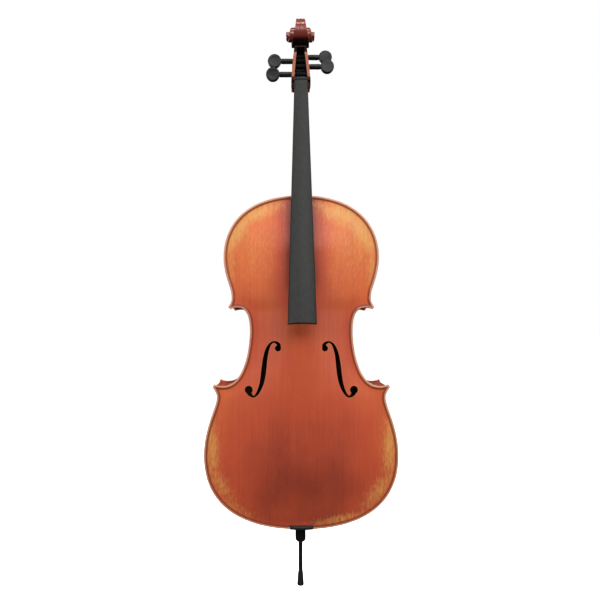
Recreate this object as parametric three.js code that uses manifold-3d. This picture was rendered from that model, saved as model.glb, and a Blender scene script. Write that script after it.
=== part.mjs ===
// A full-size cello without strings, bridge or tailpiece, as its separate glued, turned and fitted pieces.
// Millimetres. X is to the viewer's right, Y to the back, Z up. The origin is on the floor under the endpin.
import * as THREE from "three";
import { mergeVertices } from "three/addons/utils/BufferGeometryUtils.js";
import Module from "manifold-3d";

const wasm = await Module();
wasm.setup();

// ---- Driving dimensions ----

const GAP = 0.3; // between pieces that are glued or rest on each other

const BODY_BOTTOM = 156; // lowest point of the plates above the floor
const BODY_LENGTH = 761;
const BODY_DEPTH = 127; // over the plates' edges, without the arching
const PLATE = 4.5; // thickness of both plates
const FRONT_ARCH = 25;
const BACK_ARCH = 26;
const OVERHANG = 4.5; // of the plates past the ribs
const RIB = 1.6;
const LINING = { thick: 3, tall: 14 };
const PURFLING = { inset: 4.3, wide: 1.3, deep: 1.7 };
const BLOCK = { halfWidth: 55, topDepth: 56, bottomDepth: 48, cornerReach: 40 };

const BASS_BAR = { from: 100, long: 585, thick: 11, x: -28.5, deep: 17 };
const SOUND_POST = { radius: 5.5, x: 32, height: 340 };

const NECK_ANGLE = THREE.MathUtils.degToRad(10.6); // the fingerboard line leans back by this much
const NECK_STOP = 278; // edge of the front plate to the nut, along the fingerboard
const BOARD_ABOVE_EDGE = 31; // top of the fingerboard over the front plate's edge
const BOARD = {
  length: 575, nutWidth: 31, endWidth: 62.6, radius: 62, side: 6.5, hollow: 7.5, hollowRim: 6, hollowRunIn: 60,
};
const NUT = { length: 8, width: 44.4, shoulderFrom: 12, shoulderDrop: 3.3 }; // it covers the pegbox's cheeks too
const MORTISE = 12; // how far the heel is let into the body
const BUTTON = { radius: 14.5, rise: 18 };
const SADDLE = { width: 54, tall: 9.4, deep: 12.5 };

const ROD = { radius: 5, top: 466, spikeStart: 24, spikeTip: 12.5, stop: 6.4 };
const RUBBER = { height: 32.5, topRadius: 6.1, bottomRadius: 8.1, boreFloor: 11.5 };
const COLLAR = { radius: 12.5, bottom: 106, top: 152.5, chamfer: 5.5, spigot: 8, spigotTop: 221 };
const PLUG = { flange: 16, flangeTall: 7.7, taperLow: 14, taperHigh: 12.4, top: 217 };
const SCREW = { height: 129, shank: 3, knob: 7, knobLong: 12 };

// Edge of the plates, right half: cubic curves of X and height over the body's lowest point.
const LOWER_BOUT = [
  [[0, 0], [133, 0], [222, 51], [222, 168]],
  [[222, 168], [222, 233], [192, 278], [192, 302]],
  [[192, 302], [192, 309], [197, 317], [202, 324]],
];
const MIDDLE_BOUT = [
  [[198.5, 330.5], [127, 303], [117, 426], [117, 449]],
  [[117, 449], [117, 480], [120, 515], [162, 502.3]],
];
const UPPER_BOUT = [
  [[166.5, 507], [155.5, 522], [159, 527], [159, 535]],
  [[159, 535], [159, 550], [177, 579], [177, 621]],
  [[177, 621], [177, 689], [131, 761], [0, 761]],
];
const LOWER_CENTRE = { z: 168, half: 222, power: 2.4 }; // widest place of the lower bout
const UPPER_CENTRE = { z: 621, half: 177, power: 2.3 };

// Half width of the arching between the widest places, with the four corners left out: height, half width.
const ARCH_WIDTH = [
  [168, 222], [240, 210], [302, 188], [340, 156], [385, 126],
  [449, 116], [495, 122], [530, 151], [575, 172], [621, 177],
];

// Middle line of one sound hole: X, height over the body's lowest point, width.
const SOUND_HOLE = [
  [53, 414, 9], [51, 421, 6.5], [55.5, 426.6, 4], [62, 428.2, 2.6], [69, 424.3, 4.5], [74.5, 416, 7],
  [79.5, 401, 9], [82.5, 383, 10.6], [84.5, 363, 11.4], [87, 345, 10.6], [91, 329, 8.5], [97.3, 314.5, 6],
  [103, 306.5, 3.6], [108, 303.8, 2.6], [115, 306.3, 4.5], [120.3, 312, 7], [121.5, 319, 9], [119, 322, 10],
];
const UPPER_EYE = { x: 53, z: 415, radius: 6.2 };
const LOWER_EYE = { x: 118.6, z: 322.2, radius: 8.5 };

// The head, in the neck's own frame: up along the fingerboard from the nut, and back from its top.
const PEGBOX = [ // up, front edge, back, half width
  [-14, 9.2, 30, 20], [-11, 9, 33.5, 22.3], [-4, 8.6, 38, 22.6], [2, 3.4, 42, 22.6], [15, 5.4, 48.5, 21.8],
  [40, 10.6, 55.5, 20], [70, 16.8, 61, 17.8], [92, 21.4, 65.5, 16], [108, 24.8, 70, 15],
];
const NECK_THICKNESS = [[5, 27], [-10, 28.6], [-60, 29], [-150, 30.5], [-230, 32.5], [-262, 34]]; // up, back
const PEGBOX_WALL = 6.6;
const PEGBOX_FLOOR = 9;
const CAVITY = { from: 9, to: 100, endRise: 14, draft: 1.5, ahead: -12 };
const EYE = { up: 138, back: 32 };
// Radius of the scroll's spiral at each angle from the back by way of the top and the front.
const SPIRAL = [
  [-50, 47.5], [0, 44], [90, 41], [180, 36], [270, 27.3], [360, 22.8], [450, 20.5], [540, 17], [630, 14], [760, 10],
];
// Volute: angle from the back by way of the top, and the full width that the volute has from there on.
const VOLUTE_LAYERS = [
  [-50, 22], [155, 25], [190, 31], [230, 38], [270, 42.5],
  [380, 45.5], [470, 50], [550, 56], [620, 61], [690, 67],
];
const SPIRAL_STEP = 24; // degrees

// Pegs, in the neck's frame: name, up, back, which side its head is on, how far its head reaches, its turn.
const PEGS = [
  ["peg_c", 31, 26, -1, 82.4, 20],
  ["peg_a", 57, 33, 1, 80.4, 12],
  ["peg_g", 76, 39, -1, 78.8, 16],
  ["peg_d", 92, 46, 1, 77, 4],
];
const PEG = { thick: 6.4, thin: 5.2, fit: 0.35, headRadius: 16.5, headThick: 11, neck: 4.6, tail: 1.5 };

// ---- Materials ----

function finish(color, roughness, metalness = 0) {
  return new THREE.MeshStandardMaterial({ color, roughness, metalness });
}
const spruceVarnish = finish(0xb5502f, 0.35);
const mapleVarnish = finish(0x93391f, 0.35);
const plainSpruce = finish(0xd9b98a, 0.7);
const plainWillow = finish(0xcfa878, 0.75);
const dyedPurfling = finish(0x3a1a10, 0.5);
const ebony = finish(0x39383a, 0.45);
const blackFitting = finish(0x1c1c1e, 0.4);
const steelBlack = finish(0x242426, 0.3, 0.8);
const rubberBlack = finish(0x101012, 0.7);

// ---- Solids ----

function solid(geometry) {
  const bare = geometry.index ? geometry.clone() : geometry;
  bare.deleteAttribute("normal");
  bare.deleteAttribute("uv");
  const merged = mergeVertices(bare, 1e-4);
  const triVerts = new Uint32Array(merged.index.array);
  const vertProperties = new Float32Array(merged.attributes.position.array);
  const made = new wasm.Manifold(new wasm.Mesh({ numProp: 3, vertProperties, triVerts }));
  if (made.volume() > 0) return made;
  for (let i = 0; i < triVerts.length; i += 3) {
    [triVerts[i + 1], triVerts[i + 2]] = [triVerts[i + 2], triVerts[i + 1]];
  }
  return new wasm.Manifold(new wasm.Mesh({ numProp: 3, vertProperties, triVerts }));
}

function union(solids) {
  return solids.reduce((whole, piece) => whole.add(piece));
}

function geometryOf(piece) {
  const { numProp, numVert, vertProperties, triVerts } = piece.getMesh();
  const position = new Float32Array(numVert * 3);
  for (let i = 0; i < numVert; i++) {
    position.set(vertProperties.subarray(i * numProp, i * numProp + 3), i * 3);
  }
  const geometry = new THREE.BufferGeometry();
  geometry.setAttribute("position", new THREE.BufferAttribute(position, 3));
  geometry.setIndex(new THREE.BufferAttribute(triVerts, 1));
  return geometry;
}

function indexed(points, faces) {
  const geometry = new THREE.BufferGeometry().setFromPoints(points);
  geometry.setIndex(faces);
  return geometry;
}

// A shape drawn in X and Z, from y0 to y1.
function prism(outline, y0, y1) {
  const shape = new THREE.Shape(outline.map(([x, z]) => new THREE.Vector2(x, z)));
  const geometry = new THREE.ExtrudeGeometry(shape, { depth: y1 - y0, bevelEnabled: false });
  return solid(geometry.rotateX(Math.PI / 2).translate(0, y1, 0));
}

// A solid through rings of equally many points, closed by a fan over each end.
function loft(rings) {
  const n = rings[0].length;
  const points = rings.flat();
  const faces = [];
  for (let r = 0; r + 1 < rings.length; r++) {
    for (let i = 0; i < n; i++) {
      const j = (i + 1) % n;
      const [a, b, c, d] = [r * n + i, r * n + j, (r + 1) * n + j, (r + 1) * n + i];
      faces.push(a, b, c, a, c, d);
    }
  }
  for (const [ring, start, flip] of [[rings[0], 0, true], [rings.at(-1), (rings.length - 1) * n, false]]) {
    const centre = points.length;
    const middle = ring.reduce((sum, p) => sum.add(p), new THREE.Vector3()).divideScalar(n);
    points.push(middle);
    for (let i = 0; i < n; i++) {
      const j = (i + 1) % n;
      faces.push(...(flip ? [centre, start + j, start + i] : [centre, start + i, start + j]));
    }
  }
  return solid(indexed(points, faces));
}

// A solid between two surfaces y(x, z) over a grid.
function slab(xs, zs, front, back) {
  const columns = xs.length;
  const index = (i, k, layer) => layer * columns * zs.length + k * columns + i;
  const points = [];
  for (const surface of [front, back]) {
    for (const z of zs) {
      for (const x of xs) points.push(new THREE.Vector3(x, surface(x, z), z));
    }
  }
  const faces = [];
  const quad = (a, b, c, d) => faces.push(a, b, c, a, c, d);
  for (let k = 0; k + 1 < zs.length; k++) {
    for (let i = 0; i + 1 < columns; i++) {
      quad(index(i, k, 0), index(i + 1, k, 0), index(i + 1, k + 1, 0), index(i, k + 1, 0));
      quad(index(i, k, 1), index(i, k + 1, 1), index(i + 1, k + 1, 1), index(i + 1, k, 1));
    }
    const last = columns - 1;
    quad(index(0, k, 0), index(0, k + 1, 0), index(0, k + 1, 1), index(0, k, 1));
    quad(index(last, k, 0), index(last, k, 1), index(last, k + 1, 1), index(last, k + 1, 0));
  }
  const top = zs.length - 1;
  for (let i = 0; i < columns - 1; i++) {
    quad(index(i, 0, 0), index(i, 0, 1), index(i + 1, 0, 1), index(i + 1, 0, 0));
    quad(index(i, top, 0), index(i + 1, top, 0), index(i + 1, top, 1), index(i, top, 1));
  }
  return solid(indexed(points, faces));
}

function steps(from, to, count) {
  return Array.from({ length: count + 1 }, (_, i) => from + ((to - from) * i) / count);
}

// Straight-line reading of a table of [position, value, ...] rows.
function between(table, at, column = 1) {
  const k = Math.max(1, table.findIndex((row) => row[0] >= at));
  const [a, b] = at > table.at(-1)[0] ? table.slice(-2) : [table[k - 1], table[k]];
  const share = THREE.MathUtils.clamp((at - a[0]) / (b[0] - a[0]), 0, 1);
  return THREE.MathUtils.lerp(a[column], b[column], share);
}

function turned(profile, segments) {
  const points = profile.map(([r, z]) => new THREE.Vector2(r, z));
  return new THREE.LatheGeometry(points, segments).rotateX(Math.PI / 2);
}

// ---- Outline of the body ----

const STEPS_PER_CURVE = { lower: [8, 5, 2], middle: [7, 6], upper: [2, 4, 8] };

// One bout's edge, moved in by a distance: a list of [x, z].
function boutEdge(curves, counts, inset) {
  const points = [];
  curves.forEach((ends, c) => {
    const curve = new THREE.CubicBezierCurve(...ends.map(([x, z]) => new THREE.Vector2(x, z)));
    for (let i = c === 0 ? 0 : 1; i <= counts[c]; i++) {
      const t = i / counts[c];
      const p = curve.getPoint(t);
      const d = curve.getTangent(t);
      points.push([p.x - d.y * inset, p.y + d.x * inset + BODY_BOTTOM]);
    }
  });
  return points;
}

// Where two lines of points first cross: the leg of each, and the place.
function crossing(a, b) {
  for (let i = 0; i + 1 < a.length; i++) {
    for (let k = 0; k + 1 < b.length; k++) {
      const [[ax, az], [bx, bz], [cx, cz], [dx, dz]] = [a[i], a[i + 1], b[k], b[k + 1]];
      const cross = (bx - ax) * (dz - cz) - (bz - az) * (dx - cx);
      const s = ((cx - ax) * (dz - cz) - (cz - az) * (dx - cx)) / cross;
      const t = ((cx - ax) * (bz - az) - (cz - az) * (bx - ax)) / cross;
      const meet = s >= 0 && s <= 1 && t >= 0 && t <= 1;
      if (meet) return { i, k, at: [ax + s * (bx - ax), az + s * (bz - az)] };
    }
  }
  return null;
}

// The three bouts' edges at an inset, cut where they meet at the corners.
function bouts(inset) {
  let lower = boutEdge(LOWER_BOUT, STEPS_PER_CURVE.lower, inset);
  let middle = boutEdge(MIDDLE_BOUT, STEPS_PER_CURVE.middle, inset);
  let upper = boutEdge(UPPER_BOUT, STEPS_PER_CURVE.upper, inset);
  const low = crossing(lower, middle);
  if (low) {
    lower = [...lower.slice(0, low.i + 1), low.at];
    middle = [low.at, ...middle.slice(low.k + 1)];
  }
  const high = crossing(middle, upper);
  if (high) {
    middle = [...middle.slice(0, high.i + 1), high.at];
    upper = [high.at, ...upper.slice(high.k + 1)];
  }
  return { lower, middle, upper };
}

function halfOutline(inset, centreGap) {
  const { lower, middle, upper } = bouts(inset);
  const edge = [...lower, ...middle, ...upper];
  edge[0][0] = centreGap;
  edge.at(-1)[0] = centreGap;
  return edge;
}

function mirrored(outline, side) {
  return side > 0 ? outline : outline.map(([x, z]) => [-x, z]).reverse();
}

// ---- Arching ----

// 0 on the middle line of the body, 1 at its edge. The ends of the body are rounded off.
function spread(x, z) {
  const height = z - BODY_BOTTOM;
  const rounded = ({ half, power }, share) => ((Math.abs(x) / half) ** power + share ** power) ** (1 / power);
  if (height < LOWER_CENTRE.z) return rounded(LOWER_CENTRE, 1 - height / LOWER_CENTRE.z);
  if (height > UPPER_CENTRE.z) {
    return rounded(UPPER_CENTRE, (height - UPPER_CENTRE.z) / (BODY_LENGTH - UPPER_CENTRE.z));
  }
  return Math.abs(x) / between(ARCH_WIDTH, height);
}

function arch(x, z) {
  const across = 0.5 * (1 + Math.cos(Math.PI * Math.min(1, spread(x, z))));
  const middle = (LOWER_CENTRE.z + UPPER_CENTRE.z) / 2;
  const half = (UPPER_CENTRE.z - LOWER_CENTRE.z) / 2;
  const along = THREE.MathUtils.clamp((z - BODY_BOTTOM - middle) / half, -1, 1);
  return across * (1 - 0.1 * along ** 2);
}

const FRONT = -BODY_DEPTH / 2;
const BACK = BODY_DEPTH / 2;
const frontOuter = (x, z) => FRONT - FRONT_ARCH * arch(x, z);
const frontInner = (x, z) => frontOuter(x, z) + PLATE;
const backOuter = (x, z) => BACK + BACK_ARCH * arch(x, z);
const backInner = (x, z) => backOuter(x, z) - PLATE;

const GRID_Z = steps(BODY_BOTTOM - 6, BODY_BOTTOM + BODY_LENGTH + 24, 22);
const GRID_X = steps(-8, 232, 9);

// The room inside the box, with a gap to both plates.
function insideRoom() {
  const xs = [...GRID_X.map((x) => -x).reverse(), ...GRID_X].filter((x) => Math.abs(x) > 20);
  return slab(xs, GRID_Z, (x, z) => frontInner(x, z) + GAP, (x, z) => backInner(x, z) - GAP);
}

// ---- Fitted openings ----

const BODY_TOP = BODY_BOTTOM + BODY_LENGTH;
const MORTISE_Z = BODY_TOP - MORTISE;

// Levels of the heel from the fingerboard to the button: y, half width, rise of its nose over the body.
const HEEL = [
  [-92, 23, 60], [-72, 22.4, 60], [-54, 21.5, 50], [-49.7, 21.1, 36.1], [-41.6, 20.6, 28], [-30.6, 19.8, 25.1],
  [-12, 18.4, 22.6], [22, 16.2, 19.5], [BACK - PLATE - GAP, 14.2, BUTTON.rise],
];

// One level of the heel: square inside the body and round outside it.
function heelRing(y, half, rise, grow) {
  const side = half + grow;
  const inside = [-side, side].map((x) => new THREE.Vector3(x, y, MORTISE_Z - grow));
  const outside = steps(0, Math.PI, 8)
    .map((a) => new THREE.Vector3(Math.cos(a) * side, y, BODY_TOP + (rise + grow) * Math.sin(a)));
  return [...inside, ...outside];
}

// The heel's room in the body, which opens to the front and upwards.
const MORTISE_CUT = loft(HEEL.map(([y, half, rise]) => heelRing(y, half, rise, GAP)));

// The outside of the endpin's plug: a flange under the body and a taper inside it.
function plugBody(grow) {
  const { flange, flangeTall, taperLow, taperHigh, top } = PLUG;
  const profile = [
    [0, COLLAR.top - grow],
    [flange + grow, COLLAR.top - grow],
    [flange + grow, COLLAR.top + flangeTall + grow],
    [taperLow + grow, COLLAR.top + flangeTall + grow],
    [taperHigh + grow, top + grow],
    [0, top + grow],
  ];
  return solid(turned(profile, 20));
}

const PLUG_CUT = plugBody(GAP);

function saddleRoom() {
  const half = SADDLE.width / 2 + GAP;
  const [low, high] = [BODY_BOTTOM - 5, BODY_BOTTOM + SADDLE.tall];
  const outline = [[-half, low], [half, low], [half, high], [-half, high]];
  return prism(outline, FRONT - SADDLE.deep, FRONT + PLATE + 1);
}

const SADDLE_CUT = saddleRoom();

// ---- Plates ----

// Both sides of a line that has a width: a closed outline.
function stroke(line) {
  const sides = [[], []];
  line.forEach(([x, z, width], i) => {
    const [ax, az] = line[Math.max(0, i - 1)];
    const [bx, bz] = line[Math.min(line.length - 1, i + 1)];
    const run = Math.hypot(bx - ax, bz - az);
    const nx = (-(bz - az) / run) * (width / 2);
    const nz = ((bx - ax) / run) * (width / 2);
    sides[0].push([x + nx, z + nz + BODY_BOTTOM]);
    sides[1].unshift([x - nx, z - nz + BODY_BOTTOM]);
  });
  return [...sides[0], ...sides[1]];
}

function soundHole(side) {
  const y0 = FRONT - FRONT_ARCH - 10;
  const y1 = FRONT + 10;
  const round = ({ x, z, radius }) => steps(0, 2 * Math.PI, 12).slice(1)
    .map((a) => [x + radius * Math.cos(a), z + BODY_BOTTOM + radius * Math.sin(a)]);
  const outlines = [stroke(SOUND_HOLE), round(UPPER_EYE), round(LOWER_EYE)];
  return union(outlines.map((outline) => prism(mirrored(outline, side), y0, y1)));
}

// The ring between two insets of the edge, on one half.
function edgeBand(from, to, side, y0, y1) {
  const outer = halfOutline(from, GAP / 2);
  const inner = halfOutline(to, GAP / 2).reverse();
  return prism(mirrored([...outer, ...inner], side), y0, y1);
}

// Half a plate between its two surfaces, with the groove for its purfling, which is open between y0 and y1.
function plateHalf(side, [nearFace, farFace], y0, y1) {
  const xs = side > 0 ? GRID_X : GRID_X.map((x) => -x).reverse();
  const outline = prism(mirrored(halfOutline(0, GAP / 2), side), -BODY_DEPTH, BODY_DEPTH);
  const groove = edgeBand(PURFLING.inset - GAP, PURFLING.inset + PURFLING.wide + GAP, side, y0, y1);
  return slab(xs, GRID_Z, nearFace, farFace).intersect(outline).subtract(groove);
}

function frontHalf(side) {
  const half = plateHalf(side, [frontOuter, frontInner], -BODY_DEPTH, FRONT + PURFLING.deep + GAP);
  return half.subtract(soundHole(side)).subtract(MORTISE_CUT).subtract(SADDLE_CUT);
}

// The back's half carries its half of the button that the heel is glued to.
function backHalf(side) {
  const root = BODY_TOP - 3;
  const round = steps(0, Math.PI / 2, 5)
    .map((a) => [BUTTON.radius * Math.cos(a), root + (BODY_TOP + BUTTON.rise - root) * Math.sin(a)]);
  const tab = [[GAP / 2, root], ...round.slice(0, -1), [GAP / 2, BODY_TOP + BUTTON.rise]];
  const half = plateHalf(side, [backInner, backOuter], BACK - PURFLING.deep - GAP, BODY_DEPTH);
  return half.add(prism(mirrored(tab, side), BACK - PLATE, BACK));
}

function purfling(side, face) {
  const [y0, y1] = face < 0 ? [FRONT, FRONT + PURFLING.deep] : [BACK - PURFLING.deep, BACK];
  const strip = edgeBand(PURFLING.inset, PURFLING.inset + PURFLING.wide, side, y0, y1);
  return face < 0 ? strip.subtract(MORTISE_CUT).subtract(SADDLE_CUT) : strip;
}

// ---- Ribs, linings and blocks ----

const RIB_FRONT = FRONT + PLATE + GAP;
const RIB_BACK = BACK - PLATE - GAP;
const RIB_END = 0.2; // how far each rib stops short of the corner's mitre

function shortened(line, atStart, atEnd) {
  const pull = (a, b) => {
    const run = Math.hypot(b[0] - a[0], b[1] - a[1]);
    return [a[0] + ((b[0] - a[0]) * RIB_END) / run, a[1] + ((b[1] - a[1]) * RIB_END) / run];
  };
  const cut = [...line];
  if (atStart) cut[0] = pull(line[0], line[1]);
  if (atEnd) cut[cut.length - 1] = pull(line.at(-1), line.at(-2));
  return cut;
}

function rib(bout, side) {
  const ends = { lower: [false, true], middle: [true, true], upper: [true, false] }[bout];
  const outer = shortened(bouts(OVERHANG)[bout], ...ends);
  const inner = shortened(bouts(OVERHANG + RIB)[bout], ...ends);
  for (const line of [outer, inner]) {
    if (bout === "lower") line[0][0] = GAP / 2;
    if (bout === "upper") line.at(-1)[0] = GAP / 2;
  }
  const strip = prism(mirrored([...outer, ...inner.reverse()], side), RIB_FRONT, RIB_BACK);
  return strip.subtract(MORTISE_CUT).subtract(PLUG_CUT);
}

const INSIDE_RIBS = OVERHANG + RIB + GAP;
const LINING_ROOM = 4; // between a lining's end and the block that it stops at

function clearOfBlocks([x, z]) {
  const { middle } = bouts(INSIDE_RIBS);
  const corners = [middle[0], middle.at(-1)];
  const far = corners.every(([cx, cz]) => Math.hypot(x - cx, z - cz) > BLOCK.cornerReach + LINING_ROOM);
  const nearEnd = z < BODY_BOTTOM + BODY_LENGTH / 4 || z > BODY_TOP - BODY_LENGTH / 4;
  return far && !(nearEnd && Math.abs(x) < BLOCK.halfWidth + LINING_ROOM);
}

function lining(bout, side, face) {
  const outer = bouts(INSIDE_RIBS)[bout].filter(clearOfBlocks);
  const inner = bouts(INSIDE_RIBS + LINING.thick)[bout].filter(clearOfBlocks).reverse();
  const [y0, y1] = face < 0 ? [RIB_FRONT, RIB_FRONT + LINING.tall] : [RIB_BACK - LINING.tall, RIB_BACK];
  return prism(mirrored([...outer, ...inner], side), y0, y1);
}

// All that the ribs enclose.
function withinRibs() {
  const right = halfOutline(INSIDE_RIBS, 0);
  return prism([...right, ...mirrored(right.slice(1, -1), -1)], RIB_FRONT, RIB_BACK);
}

function endBlock(low, high) {
  const half = BLOCK.halfWidth;
  const box = new THREE.BoxGeometry(2 * half, BODY_DEPTH, high - low).translate(0, 0, (low + high) / 2);
  return solid(box).intersect(withinRibs()).subtract(MORTISE_CUT).subtract(PLUG_CUT);
}

function cornerBlock(which, side) {
  const { lower, middle, upper } = bouts(INSIDE_RIBS);
  const [cx, cz] = which === "lower" ? middle[0] : middle.at(-1);
  const near = ([x, z]) => Math.hypot(x - cx, z - cz) < BLOCK.cornerReach;
  const first = (which === "lower" ? lower : middle).filter(near);
  const second = (which === "lower" ? middle : upper).filter(near);
  return prism(mirrored([...first, ...second.slice(1)], side), RIB_FRONT, RIB_BACK);
}

// ---- Bass bar and sound post ----

// The bar hangs deepest under the bridge's place and thins out to both ends.
function bassBar() {
  const { from, long, thick, x, deep } = BASS_BAR;
  const ahead = FRONT - 2 * FRONT_ARCH;
  const rings = steps(0, 1, 12).map((t) => {
    const inner = FRONT - FRONT_ARCH * 0.15 - deep * (1 - Math.sin(Math.PI * t) ** 0.7);
    const [left, right] = [x - thick / 2, x + thick / 2];
    const section = [[left, inner], [right, inner], [right, ahead], [left, ahead]];
    return section.map(([at, y]) => new THREE.Vector3(at, y, BODY_BOTTOM + from + long * t));
  });
  return loft(rings).intersect(insideRoom());
}

function soundPost() {
  const { radius, x, height } = SOUND_POST;
  const profile = [[0, -BODY_DEPTH], [radius, -BODY_DEPTH], [radius, BODY_DEPTH], [0, BODY_DEPTH]];
  const post = turned(profile, 16).rotateX(Math.PI / 2);
  return solid(post.translate(x, 0, BODY_BOTTOM + height)).intersect(insideRoom());
}

// ---- Neck, in its own frame: X across, Y back from the fingerboard's top, Z up from the nut ----

const NUT_PLACE = new THREE.Vector3(
  0,
  FRONT - BOARD_ABOVE_EDGE + NECK_STOP * Math.sin(NECK_ANGLE),
  BODY_TOP + NECK_STOP * Math.cos(NECK_ANGLE),
);
const neckGroup = new THREE.Group();
neckGroup.position.copy(NUT_PLACE);
neckGroup.rotation.x = -NECK_ANGLE;
neckGroup.updateMatrixWorld(true);
const TO_NECK = neckGroup.matrixWorld.clone().invert();

const boardHalf = (z) => (BOARD.nutWidth + ((BOARD.endWidth - BOARD.nutWidth) * -z) / BOARD.length) / 2;
const boardCrown = (x) => BOARD.radius - Math.sqrt(BOARD.radius ** 2 - x ** 2);
const boardUnder = (z) => boardCrown(boardHalf(z)) + BOARD.side;

// The board is round on top, flat where it is glued down and hollowed where it stands free of the neck.
function fingerboard() {
  const { hollow, hollowRim, hollowRunIn, length } = BOARD;
  const rings = [0, -90, -180, -270, -300, -345, -460, -length].map((z) => {
    const half = boardHalf(z);
    const deep = hollow * THREE.MathUtils.clamp((-NECK_STOP - z) / hollowRunIn, 0, 1);
    const top = steps(-half, half, 8).map((x) => new THREE.Vector3(x, boardCrown(x), z));
    const under = steps(half, -half, 8).map((x) => {
      const share = Math.max(0, 1 - (x / (half - hollowRim)) ** 2);
      return new THREE.Vector3(x, boardUnder(z) - deep * share, z);
    });
    return [...top, ...under];
  });
  return loft(rings);
}

// The nut follows the board's crown and falls off over the cheeks.
function nut() {
  const half = NUT.width / 2;
  const shoulder = (x) => Math.max(0, Math.abs(x) - NUT.shoulderFrom) / (half - NUT.shoulderFrom);
  const crown = (x) => boardCrown(x) + NUT.shoulderDrop * shoulder(x) ** 2;
  const rings = [[GAP, -2], [3.5, -2.2], [6.5, -1.2], [NUT.length, 0.6]].map(([z, lift]) => {
    const top = steps(-half, half, 12).map((x) => new THREE.Vector3(x, crown(x) + lift, z));
    return [...top, new THREE.Vector3(half, boardUnder(0), z), new THREE.Vector3(-half, boardUnder(0), z)];
  });
  return loft(rings);
}

// The handle of the neck: flat to the fingerboard and round behind.
function neckShaft() {
  const rings = NECK_THICKNESS.map(([z, thick]) => {
    const half = boardHalf(z) - 0.2;
    const flat = boardUnder(Math.min(0, z)) + GAP;
    const round = steps(0, Math.PI, 10);
    return round.map((a) => new THREE.Vector3(Math.cos(a) * half, flat + Math.sin(a) * (thick - flat), z));
  });
  return loft(rings);
}

function heel() {
  const rings = HEEL.map(([y, half, rise]) => heelRing(y, half, rise, 0).map((p) => p.applyMatrix4(TO_NECK)));
  return loft(rings);
}

function pegboxOutside() {
  const rings = PEGBOX.map(([z, front, back, half]) => {
    const soft = Math.min(6, (back - front) / 4);
    const right = [[half, front], [half, back - soft], [half - soft, back - 1]];
    const left = right.map(([x, y]) => [-x, y]).reverse();
    return [...right, [0, back - 2.2], ...left].map(([x, y]) => new THREE.Vector3(x, y, z));
  });
  return loft(rings);
}

function pegboxCavity() {
  const { from, to, endRise, draft, ahead } = CAVITY;
  const rings = steps(from, to, 4).map((z) => {
    const half = between(PEGBOX, z, 3) - PEGBOX_WALL;
    const floor = between(PEGBOX, z, 2) - PEGBOX_FLOOR - (z === to ? endRise : 0);
    const section = [[-half, ahead], [half, ahead], [half - draft, floor], [-half + draft, floor]];
    return section.map(([x, y]) => new THREE.Vector3(x, y, z));
  });
  return loft(rings);
}

// One layer of the volute: a turn of the spiral, closed by a straight step.
function voluteLayer([from, width]) {
  const outline = steps(from, from + 360, 360 / SPIRAL_STEP).map((degrees) => {
    const a = THREE.MathUtils.degToRad(degrees);
    const r = between(SPIRAL, degrees);
    return new THREE.Vector2(EYE.back + r * Math.cos(a), EYE.up + r * Math.sin(a));
  });
  const geometry = new THREE.ExtrudeGeometry(new THREE.Shape(outline), { depth: width, bevelEnabled: false });
  const [x, y, z] = [new THREE.Vector3(1, 0, 0), new THREE.Vector3(0, 1, 0), new THREE.Vector3(0, 0, 1)];
  const turn = new THREE.Matrix4().makeBasis(y, z, x); // the depth comes to lie across the neck
  return solid(geometry.applyMatrix4(turn).translate(-width / 2, 0, 0));
}

const pegTaper = (distance) => THREE.MathUtils.lerp(PEG.thin, PEG.thick, (distance + 26) / 74);

// The hole that a peg turns in, all the way through both walls.
function pegHole([, up, back, side]) {
  const ends = [-30, 30];
  const profile = [[0, ends[0]], ...ends.map((x) => [pegTaper(x) + PEG.fit, x]), [0, ends[1]]];
  return solid(turned(profile, 20).rotateY((side * Math.PI) / 2).translate(0, back, up));
}

// A tapered shaft and a flat round head that is slightly dished on both faces.
function peg([, up, back, side, reach, turn]) {
  const { headRadius, headThick, neck, tail } = PEG;
  const headAt = reach - headRadius;
  const rimAt = headAt - headRadius;
  const end = -(between(PEGBOX, up, 3) + tail);
  const shaft = [
    [0, end], [pegTaper(end) - 0.8, end], [pegTaper(end), end + 1], [pegTaper(26), 26],
    [pegTaper(26), rimAt - 2], [neck, rimAt + 4], [neck, headAt], [0, headAt],
  ];
  const rim = [[0, 0.84], [0.5, 0.9], [0.82, 1], [0.97, 0.6]]
    .map(([r, t]) => [r * headRadius, (t * headThick) / 2]);
  const disc = [...rim.map(([r, t]) => [r, -t]), [headRadius, 0], ...rim.reverse()];
  const stem = solid(turned(shaft, 18).rotateY((side * Math.PI) / 2));
  const upright = turned(disc, 18).rotateX(Math.PI / 2 + THREE.MathUtils.degToRad(turn));
  return stem.add(solid(upright.translate(side * headAt, 0, 0))).translate([0, back, up]);
}

// All that stands over the glue lines of the fingerboard, from the pegbox's cheeks to the heel, and of the nut.
function boardSeat() {
  const level = (z, half) => {
    const under = boardUnder(Math.min(0, z)) + GAP;
    const section = [[-half, -60], [half, -60], [half, under], [-half, under]];
    return section.map(([x, y]) => new THREE.Vector3(x, y, z));
  };
  const cheeks = PEGBOX[0][0] - 2;
  const forBoard = loft([level(-NECK_STOP - 60, BOARD.endWidth), level(cheeks, BOARD.endWidth)]);
  const forNut = loft([level(cheeks - 1, NUT.width), level(NUT.length + GAP, NUT.width)]);
  return forBoard.add(forNut);
}

function neckAndScroll() {
  const whole = union([neckShaft(), heel(), pegboxOutside(), ...VOLUTE_LAYERS.map(voluteLayer)]);
  const hollowed = whole.subtract(pegboxCavity()).subtract(boardSeat());
  return PEGS.reduce((cut, row) => cut.subtract(pegHole(row)), hollowed);
}

// ---- Saddle ----

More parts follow.
